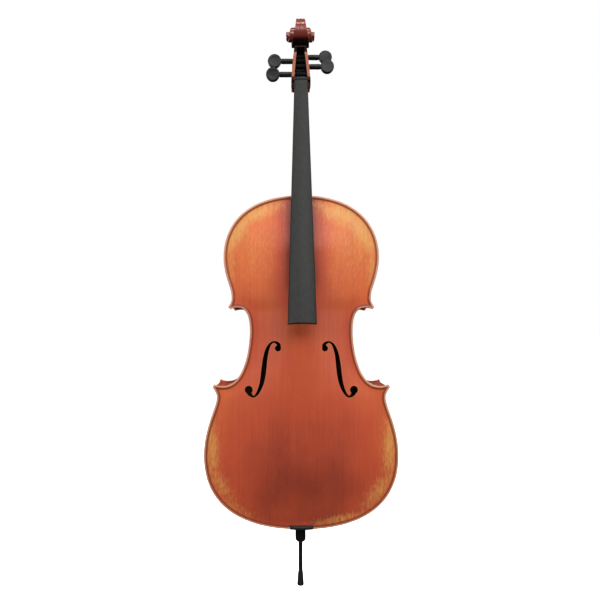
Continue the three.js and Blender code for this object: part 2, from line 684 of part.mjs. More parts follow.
function saddle() {
  const rings = steps(-1, 1, 8).map((share) => {
    const x = (share * SADDLE.width) / 2;
    const proud = 1.5 + 7 * (1 - share ** 2) ** 0.8;
    const low = BODY_BOTTOM - 1.2;
    const high = BODY_BOTTOM + SADDLE.tall - GAP;
    const back = FRONT + PLATE;
    const ahead = [[proud - 2, low], [proud, low + 2.5], [proud, high - 4], [proud - 2.5, high]]
      .map(([out, z]) => [FRONT - out, z]);
    return [[back, low], ...ahead, [back, high]].map(([y, z]) => new THREE.Vector3(x, y, z));
  });
  return loft(rings);
}

// ---- Endpin ----

function endpinPlug() {
  const bore = turned([[0, 0], [COLLAR.spigot + GAP, 0], [COLLAR.spigot + GAP, 300], [0, 300]], 20);
  return plugBody(0).subtract(solid(bore));
}

function endpinCollar() {
  const { radius, bottom, top, chamfer, spigot, spigotTop } = COLLAR;
  const bore = ROD.radius + 0.25;
  const profile = [
    [bore, bottom], [radius - chamfer, bottom], [radius - 1.6, bottom + 2.4], [radius, bottom + chamfer],
    [radius, top - GAP], [spigot, top - GAP], [spigot, spigotTop], [bore, spigotTop], [bore, bottom],
  ];
  const threads = SCREW.shank + 0.3;
  const hole = turned([[0, 0], [threads, 0], [threads, 2 * radius], [0, 2 * radius]], 12).rotateX(-Math.PI / 2);
  return solid(turned(profile, 24)).subtract(solid(hole.translate(0, 0, SCREW.height)));
}

function thumbScrew() {
  const face = COLLAR.radius + 0.8;
  const { shank, knob, knobLong } = SCREW;
  const point = ROD.radius + 0.4;
  const end = face + knobLong;
  const profile = [
    [0, point], [shank - 1, point], [shank, point + 1], [shank, face], [knob - 2, face], [knob, face + 2],
    [knob, end - 1.5], [knob - 1.5, end], [0, end],
  ];
  return solid(turned(profile, 16).rotateX(-Math.PI / 2).translate(0, 0, SCREW.height));
}

function endpinRod() {
  const { radius, top, spikeStart, spikeTip, stop } = ROD;
  const profile = [
    [0, spikeTip], [1, spikeTip + 0.8], [radius, spikeStart], [radius, top - 14],
    [stop, top - 12], [stop, top - 1.5], [radius, top], [0, top],
  ];
  return solid(turned(profile, 20));
}

function rubberTip() {
  const { height, topRadius, bottomRadius, boreFloor } = RUBBER;
  const bore = ROD.radius + 0.3;
  const profile = [
    [0, 0], [bottomRadius - 2, 0], [bottomRadius, 2.2], [bottomRadius, 4], [topRadius, height - 1],
    [topRadius - 0.6, height], [bore, height], [bore, ROD.spikeStart - 0.6], [1.3, boreFloor], [0, boreFloor],
  ];
  return solid(turned(profile, 24));
}

// ---- Assembly ----

const cello = new THREE.Group();
cello.add(neckGroup);

function piece(name, material, made, parent = cello) {
  const mesh = new THREE.Mesh(geometryOf(made), material);
  mesh.name = name;
  parent.add(mesh);
  return mesh;
}

for (const [half, side] of [["bass", -1], ["treble", 1]]) {
  piece(`front_plate_${half}`, spruceVarnish, frontHalf(side));
  piece(`back_plate_${half}`, mapleVarnish, backHalf(side));
  for (const [plate, face] of [["front", -1], ["back", 1]]) {
    piece(`purfling_${plate}_${half}`, dyedPurfling, purfling(side, face));
  }
  for (const bout of ["upper", "middle", "lower"]) {
    piece(`rib_${bout}_${half}`, mapleVarnish, rib(bout, side));
    for (const [plate, face] of [["front", -1], ["back", 1]]) {
      piece(`lining_${plate}_${bout}_${half}`, plainWillow, lining(bout, side, face));
    }
  }
  for (const corner of ["upper", "lower"]) {
    piece(`corner_block_${corner}_${half}`, plainWillow, cornerBlock(corner, side));
  }
}
piece("top_block", plainWillow, endBlock(BODY_TOP - BLOCK.topDepth, BODY_TOP));
piece("bottom_block", plainWillow, endBlock(BODY_BOTTOM, BODY_BOTTOM + BLOCK.bottomDepth));
piece("bass_bar", plainSpruce, bassBar());
piece("sound_post", plainSpruce, soundPost());
piece("neck_and_scroll", mapleVarnish, neckAndScroll(), neckGroup);
piece("fingerboard", ebony, fingerboard(), neckGroup);
piece("nut", ebony, nut(), neckGroup);
for (const row of PEGS) piece(row[0], ebony, peg(row), neckGroup);
piece("saddle", ebony, saddle());
piece("endpin_plug", blackFitting, endpinPlug());
piece("endpin_collar", blackFitting, endpinCollar());
piece("thumb_screw", blackFitting, thumbScrew());
piece("endpin_rod", steelBlack, endpinRod());
piece("rubber_tip", rubberBlack, rubberTip());

export default cello;
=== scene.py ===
import math

import bmesh
import bpy
import numpy as np
from mathutils import Matrix, Vector, geometry


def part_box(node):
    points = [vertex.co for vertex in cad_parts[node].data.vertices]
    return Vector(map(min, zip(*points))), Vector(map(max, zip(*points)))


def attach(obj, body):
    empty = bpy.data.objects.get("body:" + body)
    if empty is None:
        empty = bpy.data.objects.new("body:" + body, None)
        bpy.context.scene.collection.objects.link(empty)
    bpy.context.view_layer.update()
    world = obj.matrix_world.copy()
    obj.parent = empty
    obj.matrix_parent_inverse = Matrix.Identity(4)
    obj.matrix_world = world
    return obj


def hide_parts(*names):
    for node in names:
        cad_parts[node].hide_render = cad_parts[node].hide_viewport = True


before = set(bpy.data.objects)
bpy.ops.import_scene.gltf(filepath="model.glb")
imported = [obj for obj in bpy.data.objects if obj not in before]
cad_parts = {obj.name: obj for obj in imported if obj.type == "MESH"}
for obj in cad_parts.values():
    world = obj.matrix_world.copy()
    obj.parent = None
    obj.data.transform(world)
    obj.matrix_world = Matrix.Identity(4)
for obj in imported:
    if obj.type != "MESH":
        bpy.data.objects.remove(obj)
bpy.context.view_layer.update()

# An unstrung cello: carved plates, ribs, neck with scroll, pegs and endpin, made around the CAD frame.
# Lengths are in millimetres until a mesh is stored, which is in metres.

MM = 0.001

# ---- Places taken from the frame ----

PLATE = 4.5  # thickness of both plates
BODY_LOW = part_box("back_plate_bass")[0].z / MM
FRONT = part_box("front_plate_bass")[1].y / MM - PLATE  # plane of the front plate's edge
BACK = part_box("back_plate_bass")[0].y / MM + PLATE  # plane of the back plate's edge
BODY_LONG = 761.0
GLUE = 0.05  # between two pieces' faces where they are glued
BODY_HIGH = BODY_LOW + BODY_LONG

NECK_LEAN = math.radians(10.6)
NECK_STOP = 278.0
OVERSTAND = 31.0  # from the front plate's edge to the fingerboard's top, over the body's upper end
NECK_LET_IN = 12.0  # how deep the neck's root is let into the body
NUT_BACK = FRONT - OVERSTAND + NECK_STOP * math.sin(NECK_LEAN)
NUT_PLACE = Vector((0.0, NUT_BACK, BODY_HIGH + NECK_STOP * math.cos(NECK_LEAN)))
NECK_FRAME = Matrix.Translation(NUT_PLACE) @ Matrix.Rotation(-NECK_LEAN, 4, "X")

# ---- Outline of the body, right half, in X and height over its lowest point ----

# Each bout is a chain of cubic curves, and each curve is its two ends with two handles between them.
LOWER_BOUT = [
    [(0, 0), (133, 0), (222, 51), (222, 168)],
    [(222, 168), (222, 233), (192, 278), (192, 302)],
    [(192, 302), (192, 309), (197, 317), (202, 324)],
]
MIDDLE_BOUT = [
    [(198.5, 330.5), (127, 303), (117, 426), (117, 449)],
    [(117, 449), (117, 480), (120, 515), (162, 502.3)],
]
UPPER_BOUT = [
    [(166.5, 507), (155.5, 522), (159, 527), (159, 535)],
    [(159, 535), (159, 550), (177, 579), (177, 621)],
    [(177, 621), (177, 689), (131, 761), (0, 761)],
]
SPACING = 3.2  # between points of the outline
ARCH_WIDTH = [  # height, half width of the arching
    (168, 222), (240, 210), (302, 188), (340, 156), (385, 126),
    (449, 116), (495, 122), (530, 151), (575, 172), (621, 177),
]
LOWER_WIDEST = (168.0, 222.0, 2.4)  # height, half width, squareness of the end of the arching
UPPER_WIDEST = (621.0, 177.0, 2.3)
FRONT_ARCH = 25.0  # height of the arching over the plane of the edge
BACK_ARCH = 25.4

EDGE_ROUND = 2.5  # how far in from the edge its rounding starts
EDGE_DROP = 2.0  # how far the rounding falls
CHANNEL = 1.3  # depth of the channel along the edge
RIM_BARE = 1.2  # how far in a plate's under face keeps the pale look of its edge
RIB_FACES = (4.5, 6.1)  # how far in from the plates' edge a rib's outer and inner faces are
RIB_INSIDE = 6.5  # from here in, a plate's under face is bare wood
PURFLING = (4.3, 5.6)  # how far in from the edge the purfling starts and ends
PURFLING_DEEP = 1.0
SEAM = 0.005  # half of the joint on the middle line
SADDLE = (27.0, 0.3, 9.1)  # half width, and its lower and upper end over the body's lowest point
BUTTON = (14.5, -3.0, 18.0)  # half width, and its root and its end over the top of the body

SOUND_HOLE = [  # middle line of the hole: X, height, width
    (51.6, 415, 9.6), (51.0, 420.6, 8.6), (55.2, 425.4, 6.4), (62, 427.6, 4.0), (68.6, 424.4, 5.0),
    (74.3, 416.5, 7.4), (79.6, 401.5, 9.6), (82.8, 383, 11.0), (85.0, 363, 11.8), (87.4, 345, 11.1),
    (91.2, 329, 9.4), (97, 315.2, 7.4), (103, 307.0, 5.6), (108, 303.9, 4.8), (113.4, 306.4, 7.8),
    (118.0, 311.5, 11.0), (120.0, 318, 12.4),
]
UPPER_EYE = (52.8, 413.2, 7.0)  # X, height, radius
LOWER_EYE = (119.2, 318.9, 9.3)
NICK = (85.2, 362.5, 9.4, 2.3)  # X, height, half length across the hole, width

HEAD_RADIUS = 16.5  # of a peg


def smooth_curve(points, count):
    """A Catmull-Rom curve through the points, evenly spread over their parameters."""
    p = np.array(points, float)
    p = np.vstack([2 * p[0] - p[1], p, 2 * p[-1] - p[-2]])
    t = np.linspace(0, len(p) - 3, count)
    k = np.minimum(t.astype(int), len(p) - 4)
    s = (t - k)[:, None]
    a, b, c, d = p[k], p[k + 1], p[k + 2], p[k + 3]
    return 0.5 * (2 * b + (c - a) * s + (2 * a - 5 * b + 4 * c - d) * s**2 + (3 * b - a - 3 * c + d) * s**3)


def smooth_value(table, at):
    """The table's value at each place, on a curve that doesn't overshoot its points."""
    x, y = np.array(table, float).T
    h = np.diff(x)
    slope = np.diff(y) / h
    before, after = slope[:-1], slope[1:]
    inner = np.where(before * after > 0, 2 * before * after / (before + after + 1e-12), 0)
    m = np.concatenate([[slope[0]], inner, [slope[-1]]])
    at = np.clip(np.asarray(at, float), x[0], x[-1])
    k = np.clip(np.searchsorted(x, at, side="right") - 1, 0, len(h) - 1)
    s = (at - x[k]) / h[k]
    rise = h[k] * ((s**3 - 2 * s**2 + s) * m[k] + (s**3 - s**2) * m[k + 1])
    return (2 * s**3 - 3 * s**2 + 1) * y[k] + (3 * s**2 - 2 * s**3) * y[k + 1] + rise


def step(low, high, value):
    """0 below low, 1 above high and smooth between."""
    s = np.clip((value - low) / (high - low), 0, 1)
    return s * s * (3 - 2 * s)


# ---- Outline ----


def bout_edge(curves, inset):
    """A bout's edge moved in by inset, in fine steps."""
    points, normals = [], []
    for ends in curves:
        a, b, c, d = np.array(ends, float)
        t = np.linspace(0, 1, 120)[:, None]
        points.append((1 - t) ** 3 * a + 3 * (1 - t) ** 2 * t * b + 3 * (1 - t) * t**2 * c + t**3 * d)
        run = 3 * (1 - t) ** 2 * (b - a) + 6 * (1 - t) * t * (c - b) + 3 * t**2 * (d - c)
        run /= np.linalg.norm(run, axis=1, keepdims=True)
        normals.append(np.column_stack([-run[:, 1], run[:, 0]]))
    line = np.vstack(points) + np.vstack(normals) * inset
    keep = np.concatenate([[True], np.linalg.norm(np.diff(line, axis=0), axis=1) > 1e-6])
    return line[keep]


def first_crossing(a, b):
    """Where line a crosses line b: the leg of each and the place, or None."""
    p, r = a[:-1, None], (a[1:] - a[:-1])[:, None]
    q, s = b[None, :-1], (b[1:] - b[:-1])[None]
    cross = r[..., 0] * s[..., 1] - r[..., 1] * s[..., 0]
    cross = np.where(np.abs(cross) < 1e-12, np.nan, cross)
    gap = q - p
    t = (gap[..., 0] * s[..., 1] - gap[..., 1] * s[..., 0]) / cross
    u = (gap[..., 0] * r[..., 1] - gap[..., 1] * r[..., 0]) / cross
    hits = np.argwhere((t >= 0) & (t <= 1) & (u >= 0) & (u <= 1))
    if not len(hits):
        return None
    i, k = hits[0]
    return i, k, a[i] + t[i, k] * (a[i + 1] - a[i])


def joined(first, second, inset):
    """Two bouts cut where they meet at a corner, or at the corner's straight end where that is left."""
    met = first_crossing(first, second)
    if met:
        i, k, place = met
        return np.vstack([first[: i + 1], place]), np.vstack([place, second[k + 1 :]])
    end = second[0] - first[-1]
    along = end / np.linalg.norm(end)
    corner = np.array([-along[1], along[0]]) * inset
    line = np.array([first[-1] - along * 8, second[0] + along * 8]) + corner
    low, high = first_crossing(first, line), first_crossing(line, second)
    if low:
        first = np.vstack([first[: low[0] + 1], low[2]])
    if high:
        second = np.vstack([high[2], second[high[1] + 1 :]])
    return first, second


def spread_evenly(line, count):
    run = np.concatenate([[0], np.cumsum(np.linalg.norm(np.diff(line, axis=0), axis=1))])
    at = np.linspace(0, run[-1], count)
    return np.column_stack([np.interp(at, run, line[:, 0]), np.interp(at, run, line[:, 1])])


def bouts(inset):
    """The lower, middle and upper lines at an inset, each with a fixed number of points, in X and Z."""
    lower, middle, upper = (bout_edge(curves, inset) for curves in (LOWER_BOUT, MIDDLE_BOUT, UPPER_BOUT))
    lower, middle = joined(lower, middle, inset)
    middle, upper = joined(middle, upper, inset)
    lines = {}
    for name, line, length in (("lower", lower, 480), ("middle", middle, 240), ("upper", upper, 400)):
        even = spread_evenly(line, int(length / SPACING))
        lines[name] = even + [0, BODY_LOW]
    lines["lower"][0, 0] = lines["upper"][-1, 0] = 0
    return lines


def half_outline(inset):
    lines = bouts(inset)
    whole = np.vstack([lines["lower"], lines["middle"], lines["upper"]])
    keep = np.concatenate([[True], np.linalg.norm(np.diff(whole, axis=0), axis=1) > 0.02])
    whole = whole[keep]
    whole[[0, -1], 0] = SEAM
    return whole


OUTLINE = half_outline(0)
RIB_LINE = half_outline(RIB_INSIDE)


def button_arc(inset):
    """The round end of the back's button, right half, which the neck's heel is glued to."""
    wide, root, high = BUTTON
    turns = np.linspace(0, np.pi / 2, 16)
    x = (wide - inset) * np.cos(turns)
    z = BODY_HIGH + root + (high - root - inset) * np.sin(turns)
    return np.column_stack([np.maximum(x, SEAM), z])


def with_button():
    """The outline of the back, which goes round the button."""
    arc = button_arc(0)
    clear = OUTLINE[(OUTLINE[:, 1] < BODY_HIGH - 60) | (OUTLINE[:, 0] > BUTTON[0])]
    return np.vstack([clear, arc[arc[:, 1] > clear[-1, 1]]])


def edge_distance(points, outline=OUTLINE):
    """How far each point of the right half is from the outline."""
    a, b = outline[:-1], outline[1:]
    run = b - a
    best = np.full(len(points), 1e9)
    for start in range(0, len(points), 2000):
        p = points[start : start + 2000, None]
        t = np.clip(((p - a) * run).sum(-1) / (run * run).sum(-1), 0, 1)
        gap = np.linalg.norm(a + t[..., None] * run - p, axis=-1)
        best[start : start + 2000] = gap.min(1)
    return best


def arching(points):
    """0 at the edge and 1 on the highest place of the plate."""
    x, height = np.abs(points[:, 0]), points[:, 1] - BODY_LOW
    spread = x / smooth_value(ARCH_WIDTH, height)
    low, lower_half, lower_power = LOWER_WIDEST
    high, upper_half, upper_power = UPPER_WIDEST
    for half, power, share in (
        (lower_half, lower_power, (low - height) / low),
        (upper_half, upper_power, (height - high) / (BODY_LONG - high)),
    ):
        rounded = ((x / half) ** power + np.maximum(share, 0) ** power) ** (1 / power)
        spread = np.where(share > 0, rounded, spread)
    middle = (low + high) / 2
    reach = (high - low) / 2
    along = np.clip((height - middle) / reach, -1, 1)
    return 0.5 * (1 + np.cos(np.pi * np.minimum(spread, 1))) * (1 - 0.1 * along**2)


def inside(points, polygon):
    """Whether each point is within the closed polygon."""
    x, y = points[:, :1], points[:, 1:]
    x0, y0 = polygon.T
    x1, y1 = np.roll(polygon, -1, axis=0).T
    spans = (y0 > y) != (y1 > y)
    with np.errstate(divide="ignore", invalid="ignore"):
        hit = x < (x1 - x0) * (y - y0) / (y1 - y0) + x0
    return (spans & hit).sum(1) % 2 == 1


# ---- Meshes ----


def add_piece(name, verts, faces, body, slot, nodes, materials, angle, values=None, face_materials=None):
    """A mesh piece that rides on a body and stands for CAD nodes. verts are in millimetres.

    Edges sharper than angle, in degrees, are shown as edges. values are numbers on the mesh's points.
    """
    mesh = bpy.data.meshes.new(name)
    mesh.from_pydata((np.asarray(verts, float) * MM).tolist(), [], [list(map(int, f)) for f in faces])
    mesh.validate()
    for key, numbers in (values or {}).items():
        mesh.attributes.new(key, "FLOAT", "POINT").data.foreach_set("value", np.asarray(numbers, np.float32))
    for material in materials:
        mesh.materials.append(material)
    if face_materials is not None:
        mesh.polygons.foreach_set("material_index", np.asarray(face_materials, np.int32))
    mesh.shade_smooth()
    mesh.set_sharp_from_angle(angle=math.radians(angle))
    piece = bpy.data.objects.new(name + "_shown", mesh)
    bpy.context.collection.objects.link(piece)
    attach(piece, body)
    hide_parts(*nodes)


def thickened(flat, triangles, near, far):
    """A closed shell between two sheets over the same triangles, with a corner of each of its wall faces."""
    n = len(flat)
    top = np.column_stack([flat[:, 0], near, flat[:, 1]])
    under = np.column_stack([flat[:, 0], far, flat[:, 1]])
    edges = np.vstack([triangles[:, [0, 1]], triangles[:, [1, 2]], triangles[:, [2, 0]]])
    known = {tuple(e) for e in edges.tolist()}
    rim = [e for e in edges.tolist() if (e[1], e[0]) not in known]
    walls = [[a, a + n, b + n, b] for a, b in rim]
    faces = triangles.tolist() + (triangles[:, ::-1] + n).tolist() + walls
    return np.vstack([top, under]), faces, np.array([a for a, _ in rim])


def lofted(rings, closed=True, capped=True):
    """Faces between rings of equally many points. closed joins a ring's ends, capped covers the end rings."""
    rings = np.asarray(rings, float)
    count, n = rings.shape[:2]
    faces = []
    for r in range(count - 1):
        for i in range(n if closed else n - 1):
            j = (i + 1) % n
            faces.append([r * n + i, r * n + j, (r + 1) * n + j, (r + 1) * n + i])
    if capped:
        faces.append(list(range(n))[::-1])
        faces.append([(count - 1) * n + i for i in range(n)])
    return rings.reshape(-1, 3), faces


def turned(profile, segments):
    """A closed turned body about Z from a profile of radius and height that starts and ends on the axis."""
    turns = np.linspace(0, 2 * np.pi, segments, endpoint=False)
    inner = profile[1:-1]
    rings = [[(r * math.cos(a), r * math.sin(a), z) for a in turns] for r, z in inner]
    verts, faces = lofted(rings, capped=False)
    low, high = len(verts), len(verts) + 1
    verts = np.vstack([verts, [(0, 0, profile[0][1])], [(0, 0, profile[-1][1])]])
    last = (len(inner) - 1) * segments
    for i in range(segments):
        j = (i + 1) % segments
        faces.append([low, j, i])
        faces.append([high, last + i, last + j])
    return verts, faces


def turned_ring(profile, segments):
    """A turned body with a hole along Z, from a closed profile of radius and height."""
    turns = np.linspace(0, 2 * np.pi, segments, endpoint=False)
    rings = [[(r * math.cos(a), r * math.sin(a), z) for r, z in profile] for a in turns]
    return lofted(rings + rings[:1], capped=False)


def moved(verts, matrix):
    return np.array([matrix @ Vector(v) for v in verts])


# ---- Materials ----


class Paint:
    """A material's node tree, built from object coordinates in metres and from mesh values."""

    def __init__(self, name, **surface):
        self.material = bpy.data.materials.new(name)
        self.material.use_nodes = True
        self.tree = self.material.node_tree
        self.surface = self.tree.nodes["Principled BSDF"]
        for key, value in surface.items():
            self.surface.inputs[key.replace("_", " ")].default_value = value

    def node(self, kind, **settings):
        made = self.tree.nodes.new(kind)
        for key, value in settings.items():
            setattr(made, key, value)
        return made

    def feed(self, socket, value):
        """Links a socket to an output, or sets a plain value on it."""
        if isinstance(value, bpy.types.NodeSocket):
            self.tree.links.new(value, socket)
        elif isinstance(value, tuple) and len(value) == 3 and len(socket.default_value) == 4:
            socket.default_value = (*value, 1)
        else:
            socket.default_value = value

    def place(self, scale=(1, 1, 1)):
        mapping = self.node("ShaderNodeMapping")
        self.feed(mapping.inputs["Vector"], self.node("ShaderNodeTexCoord").outputs["Object"])
        mapping.inputs["Scale"].default_value = scale
        return mapping.outputs["Vector"]

    def value(self, name):
        return self.node("ShaderNodeAttribute", attribute_name=name).outputs["Fac"]

    def noise(self, vector, scale, detail, roughness=0.5):
        made = self.node("ShaderNodeTexNoise")
        self.feed(made.inputs["Vector"], vector)
        for key, value in (("Scale", scale), ("Detail", detail), ("Roughness", roughness)):
            made.inputs[key].default_value = value
        return made.outputs["Fac"]

    def wave(self, vector, scale, distortion, detail_scale):
        made = self.node("ShaderNodeTexWave", wave_type="BANDS", bands_direction="X")
        self.feed(made.inputs["Vector"], vector)
        made.inputs["Scale"].default_value = scale
        made.inputs["Distortion"].default_value = distortion
        made.inputs["Detail"].default_value = 2.0
        made.inputs["Detail Scale"].default_value = detail_scale
        return made.outputs["Fac"]

    def math(self, operation, a, b=0.0):
        made = self.node("ShaderNodeMath", operation=operation)
        self.feed(made.inputs[0], a)
        self.feed(made.inputs[1], b)
        return made.outputs[0]

    def between(self, value, low, high):
        """0 where value is under low and 1 where it is over high."""
        made = self.node("ShaderNodeMapRange", interpolation_type="SMOOTHSTEP")
        self.feed(made.inputs["Value"], value)
        made.inputs["From Min"].default_value = low
        made.inputs["From Max"].default_value = high
        return made.outputs["Result"]

    def mix(self, share, a, b, mode="MIX"):
        made = self.node("ShaderNodeMix", data_type="RGBA", blend_type=mode, clamp_result=False)
        self.feed(made.inputs["Factor"], share)
        self.feed(made.inputs[6], a)
        self.feed(made.inputs[7], b)
        return made.outputs[2]

    def grey(self, value, low, high):
        """A grey from low to high as value goes from 0 to 1, for multiplying a colour."""
        made = self.node("ShaderNodeMapRange")
        self.feed(made.inputs["Value"], value)
        made.inputs["To Min"].default_value = low
        made.inputs["To Max"].default_value = high
        return made.outputs["Result"]

    def bump(self, height, distance, strength):
        made = self.node("ShaderNodeBump")
        made.inputs["Strength"].default_value = strength
        made.inputs["Distance"].default_value = distance
        self.feed(made.inputs["Height"], height)
        self.feed(self.surface.inputs["Normal"], made.outputs["Normal"])

    def colour(self, value):
        self.feed(self.surface.inputs["Base Color"], value)

    def roughness(self, value):
        self.feed(self.surface.inputs["Roughness"], value)


VARNISH = {"Coat_Weight": 0.18, "Coat_Roughness": 0.26, "Coat_IOR": 1.45, "Specular_IOR_Level": 0.2}
NEAR_BLACK = (0.016, 0.006, 0.005)
DARK_RED = (0.275, 0.045, 0.028)
RED = (0.56, 0.088, 0.038)
ORANGE = (0.78, 0.18, 0.050)
GOLD = (0.76, 0.36, 0.095)
PALE_EDGE = (0.68, 0.33, 0.20)
# colour of the painted shade in the channel just inside the purfling
CHANNEL_PAINTED_SHADE = (0.19, 0.033, 0.018)
NO_EDGE = 100.0  # the edge value of a place that has neither the plates' pale rim nor their dark channel


def varnish_colour(paint):
    """The varnish's colour: dark and light by the mesh's shade value, which holds painted shade and light
    besides the varnish's tone; golden where worn, pale on the rubbed rim, darker along the channel as painted
    shade.
    """
    cloud = paint.noise(paint.place((1, 1, 0.6)), 16, 4, 0.55)
    mottle = paint.math("MULTIPLY", paint.math("SUBTRACT", cloud, 0.5), 0.34)
    shade = paint.math("ADD", paint.value("shade"), mottle)
    base = paint.mix(paint.between(shade, -1.0, 0.1), NEAR_BLACK, DARK_RED)
    base = paint.mix(paint.between(shade, 0.0, 0.5), base, RED)
    base = paint.mix(paint.between(shade, 0.45, 1.0), base, ORANGE)
    speckle = paint.noise(paint.place((1, 1, 0.35)), 260, 5, 0.65)
    ragged = paint.math("MULTIPLY", paint.math("SUBTRACT", speckle, 0.5), 1.7)
    worn = paint.between(paint.math("ADD", paint.value("wear"), ragged), 0.1, 1.25)
    base = paint.mix(worn, base, GOLD)
    edge = paint.value("edge")
    # Painted shade in the channel's hollow, just inside the purfling.
    channel = paint.math("MULTIPLY", paint.between(edge, 4.6, 5.7), paint.between(edge, 10.2, 6.8))
    base = paint.mix(paint.math("MULTIPLY", channel, 0.78), base, CHANNEL_PAINTED_SHADE)
    rubbed = paint.noise(paint.place(), 55, 4, 0.6)
    rim = paint.math("MULTIPLY", paint.between(edge, 5.2, 3.2), paint.between(rubbed, 0.1, 0.5))
    return paint.mix(paint.math("MULTIPLY", rim, 0.85), base, PALE_EDGE)


def spruce():
    paint = Paint("varnished_spruce", Roughness=0.42, **VARNISH)
    rings = paint.wave(paint.place((1, 1, 0.012)), 190, 1.6, 3.0)
    broad = paint.noise(paint.place((150, 1, 2.0)), 1.0, 3, 0.6)
    fine = paint.noise(paint.place((520, 1, 9)), 1.0, 2, 0.5)
    grain = paint.math("ADD", paint.math("MULTIPLY", rings, 0.35), paint.math("MULTIPLY", broad, 0.65))
    colour = paint.mix(1.0, varnish_colour(paint), paint.grey(grain, 0.84, 1.17), "MULTIPLY")
    paint.colour(paint.mix(1.0, colour, paint.grey(fine, 0.86, 1.14), "MULTIPLY"))
    paint.roughness(paint.grey(paint.noise(paint.place(), 24, 4), 0.34, 0.5))
    paint.bump(paint.math("ADD", paint.math("MULTIPLY", rings, 0.6), fine), 0.00012, 0.6)
    return paint.material


def flames(paint, vector, scale):
    """Maple's flame: soft uneven bands across the grain."""
    bands = paint.wave(vector, scale, 5.0, 1.6)
    broken = paint.noise(vector, scale * 0.35, 3, 0.6)
    return paint.math("MULTIPLY", paint.between(bands, 0.15, 0.85), paint.between(broken, 0.28, 0.62))


def maple(name, flame_vector, scale=22.0, grain=(9, 9, 240), contrast=0.34, coat=0.26, coat_roughness=0.26):
    """Varnished maple. flame_vector makes the coordinate whose X the flame's bands follow."""
    paint = Paint(name, Roughness=0.38, **{**VARNISH, "Coat_Roughness": coat_roughness})
    flame = flames(paint, flame_vector(paint), scale)
    pores = paint.noise(paint.place(grain), 1.0, 3, 0.6)
    colour = paint.mix(1.0, varnish_colour(paint), paint.grey(flame, 1 - contrast, 1 + contrast), "MULTIPLY")
    paint.colour(paint.mix(1.0, colour, paint.grey(pores, 0.9, 1.1), "MULTIPLY"))
    paint.roughness(paint.grey(flame, 0.42, 0.32))
    polish = paint.between(paint.value("shade"), -0.6, -0.1)
    paint.feed(paint.surface.inputs["Coat Weight"], paint.math("MULTIPLY", polish, coat))
    specular = paint.grey(polish, 0.03, VARNISH["Specular_IOR_Level"])
    paint.feed(paint.surface.inputs["Specular IOR Level"], specular)
    paint.bump(pores, 0.00005, 0.4)
    return paint.material


def plain_wood(name, light, dark, grain, roughness=0.62):
    paint = Paint(name, Roughness=roughness)
    streak = paint.noise(paint.place(grain), 1.0, 4, 0.6)
    paint.colour(paint.mix(streak, dark, light))
    paint.bump(streak, 0.0001, 0.6)
    return paint.material


def dark_wood(name, colour, streak_colour, grain, roughness, shine=0.45):
    """Ebony and its like: near black with faint streaks and open pores along the grain."""
    paint = Paint(name, Specular_IOR_Level=shine)
    streak = paint.noise(paint.place(grain), 1.0, 4, 0.62)
    cloud = paint.noise(paint.place((14, 14, 4)), 1.0, 3)
    paint.colour(paint.mix(paint.between(streak, 0.35, 0.8), colour, streak_colour))
    paint.roughness(paint.grey(cloud, roughness - 0.06, roughness + 0.08))
    paint.bump(streak, 0.00010, 0.3)
    return paint.material


def black_metal(name, colour, roughness):
    paint = Paint(name, Metallic=0.6, Specular_IOR_Level=0.5)
    scratch = paint.noise(paint.place((900, 900, 60)), 1.0, 3, 0.6)
    paint.colour(paint.mix(scratch, colour, tuple(2.1 * c for c in colour)))
    paint.roughness(paint.grey(scratch, roughness - 0.07, roughness + 0.1))
    paint.bump(scratch, 0.00003, 0.4)
    return paint.material


def rubber():
    paint = Paint("black_rubber", Roughness=0.62, Specular_IOR_Level=0.22)
    dust = paint.noise(paint.place(), 420, 5, 0.7)
    paint.colour(paint.mix(paint.between(dust, 0.5, 0.8), (0.012, 0.012, 0.013), (0.035, 0.034, 0.034)))
    paint.bump(dust, 0.00008, 0.6)
    return paint.material


# ---- Plates ----


def sound_hole_loops():
    """The outlines that together make the right sound hole: its long stroke, two eyes and a nick."""
    line = smooth_curve(SOUND_HOLE, 110)
    run = np.gradient(line[:, :2], axis=0)
    run /= np.linalg.norm(run, axis=1, keepdims=True)
    side = np.column_stack([-run[:, 1], run[:, 0]]) * line[:, 2:] / 2
    loops = [np.vstack([line[:, :2] + side, (line[:, :2] - side)[::-1]])]
    for x, z, radius in (UPPER_EYE, LOWER_EYE):
        a = np.linspace(0, 2 * np.pi, 40, endpoint=False)
        loops.append(np.column_stack([x + radius * np.cos(a), z + radius * np.sin(a)]))
    x, z, reach, wide = NICK
    loops.append(np.array([(x - reach, z), (x, z - wide / 2), (x + reach, z), (x, z + wide / 2)]))
    return [loop + [0, BODY_LOW] for loop in loops]


HEEL_HALF = [(-92, 23), (-72, 22.4), (-54, 21.5), (-41.6, 20.6), (-12, 18.4), (22, 16.2), (60, 14.2)]


def heel_half_width(y):
    """Half the width of the neck's heel, which narrows towards the back plate."""
    return float(smooth_value(HEEL_HALF, y))


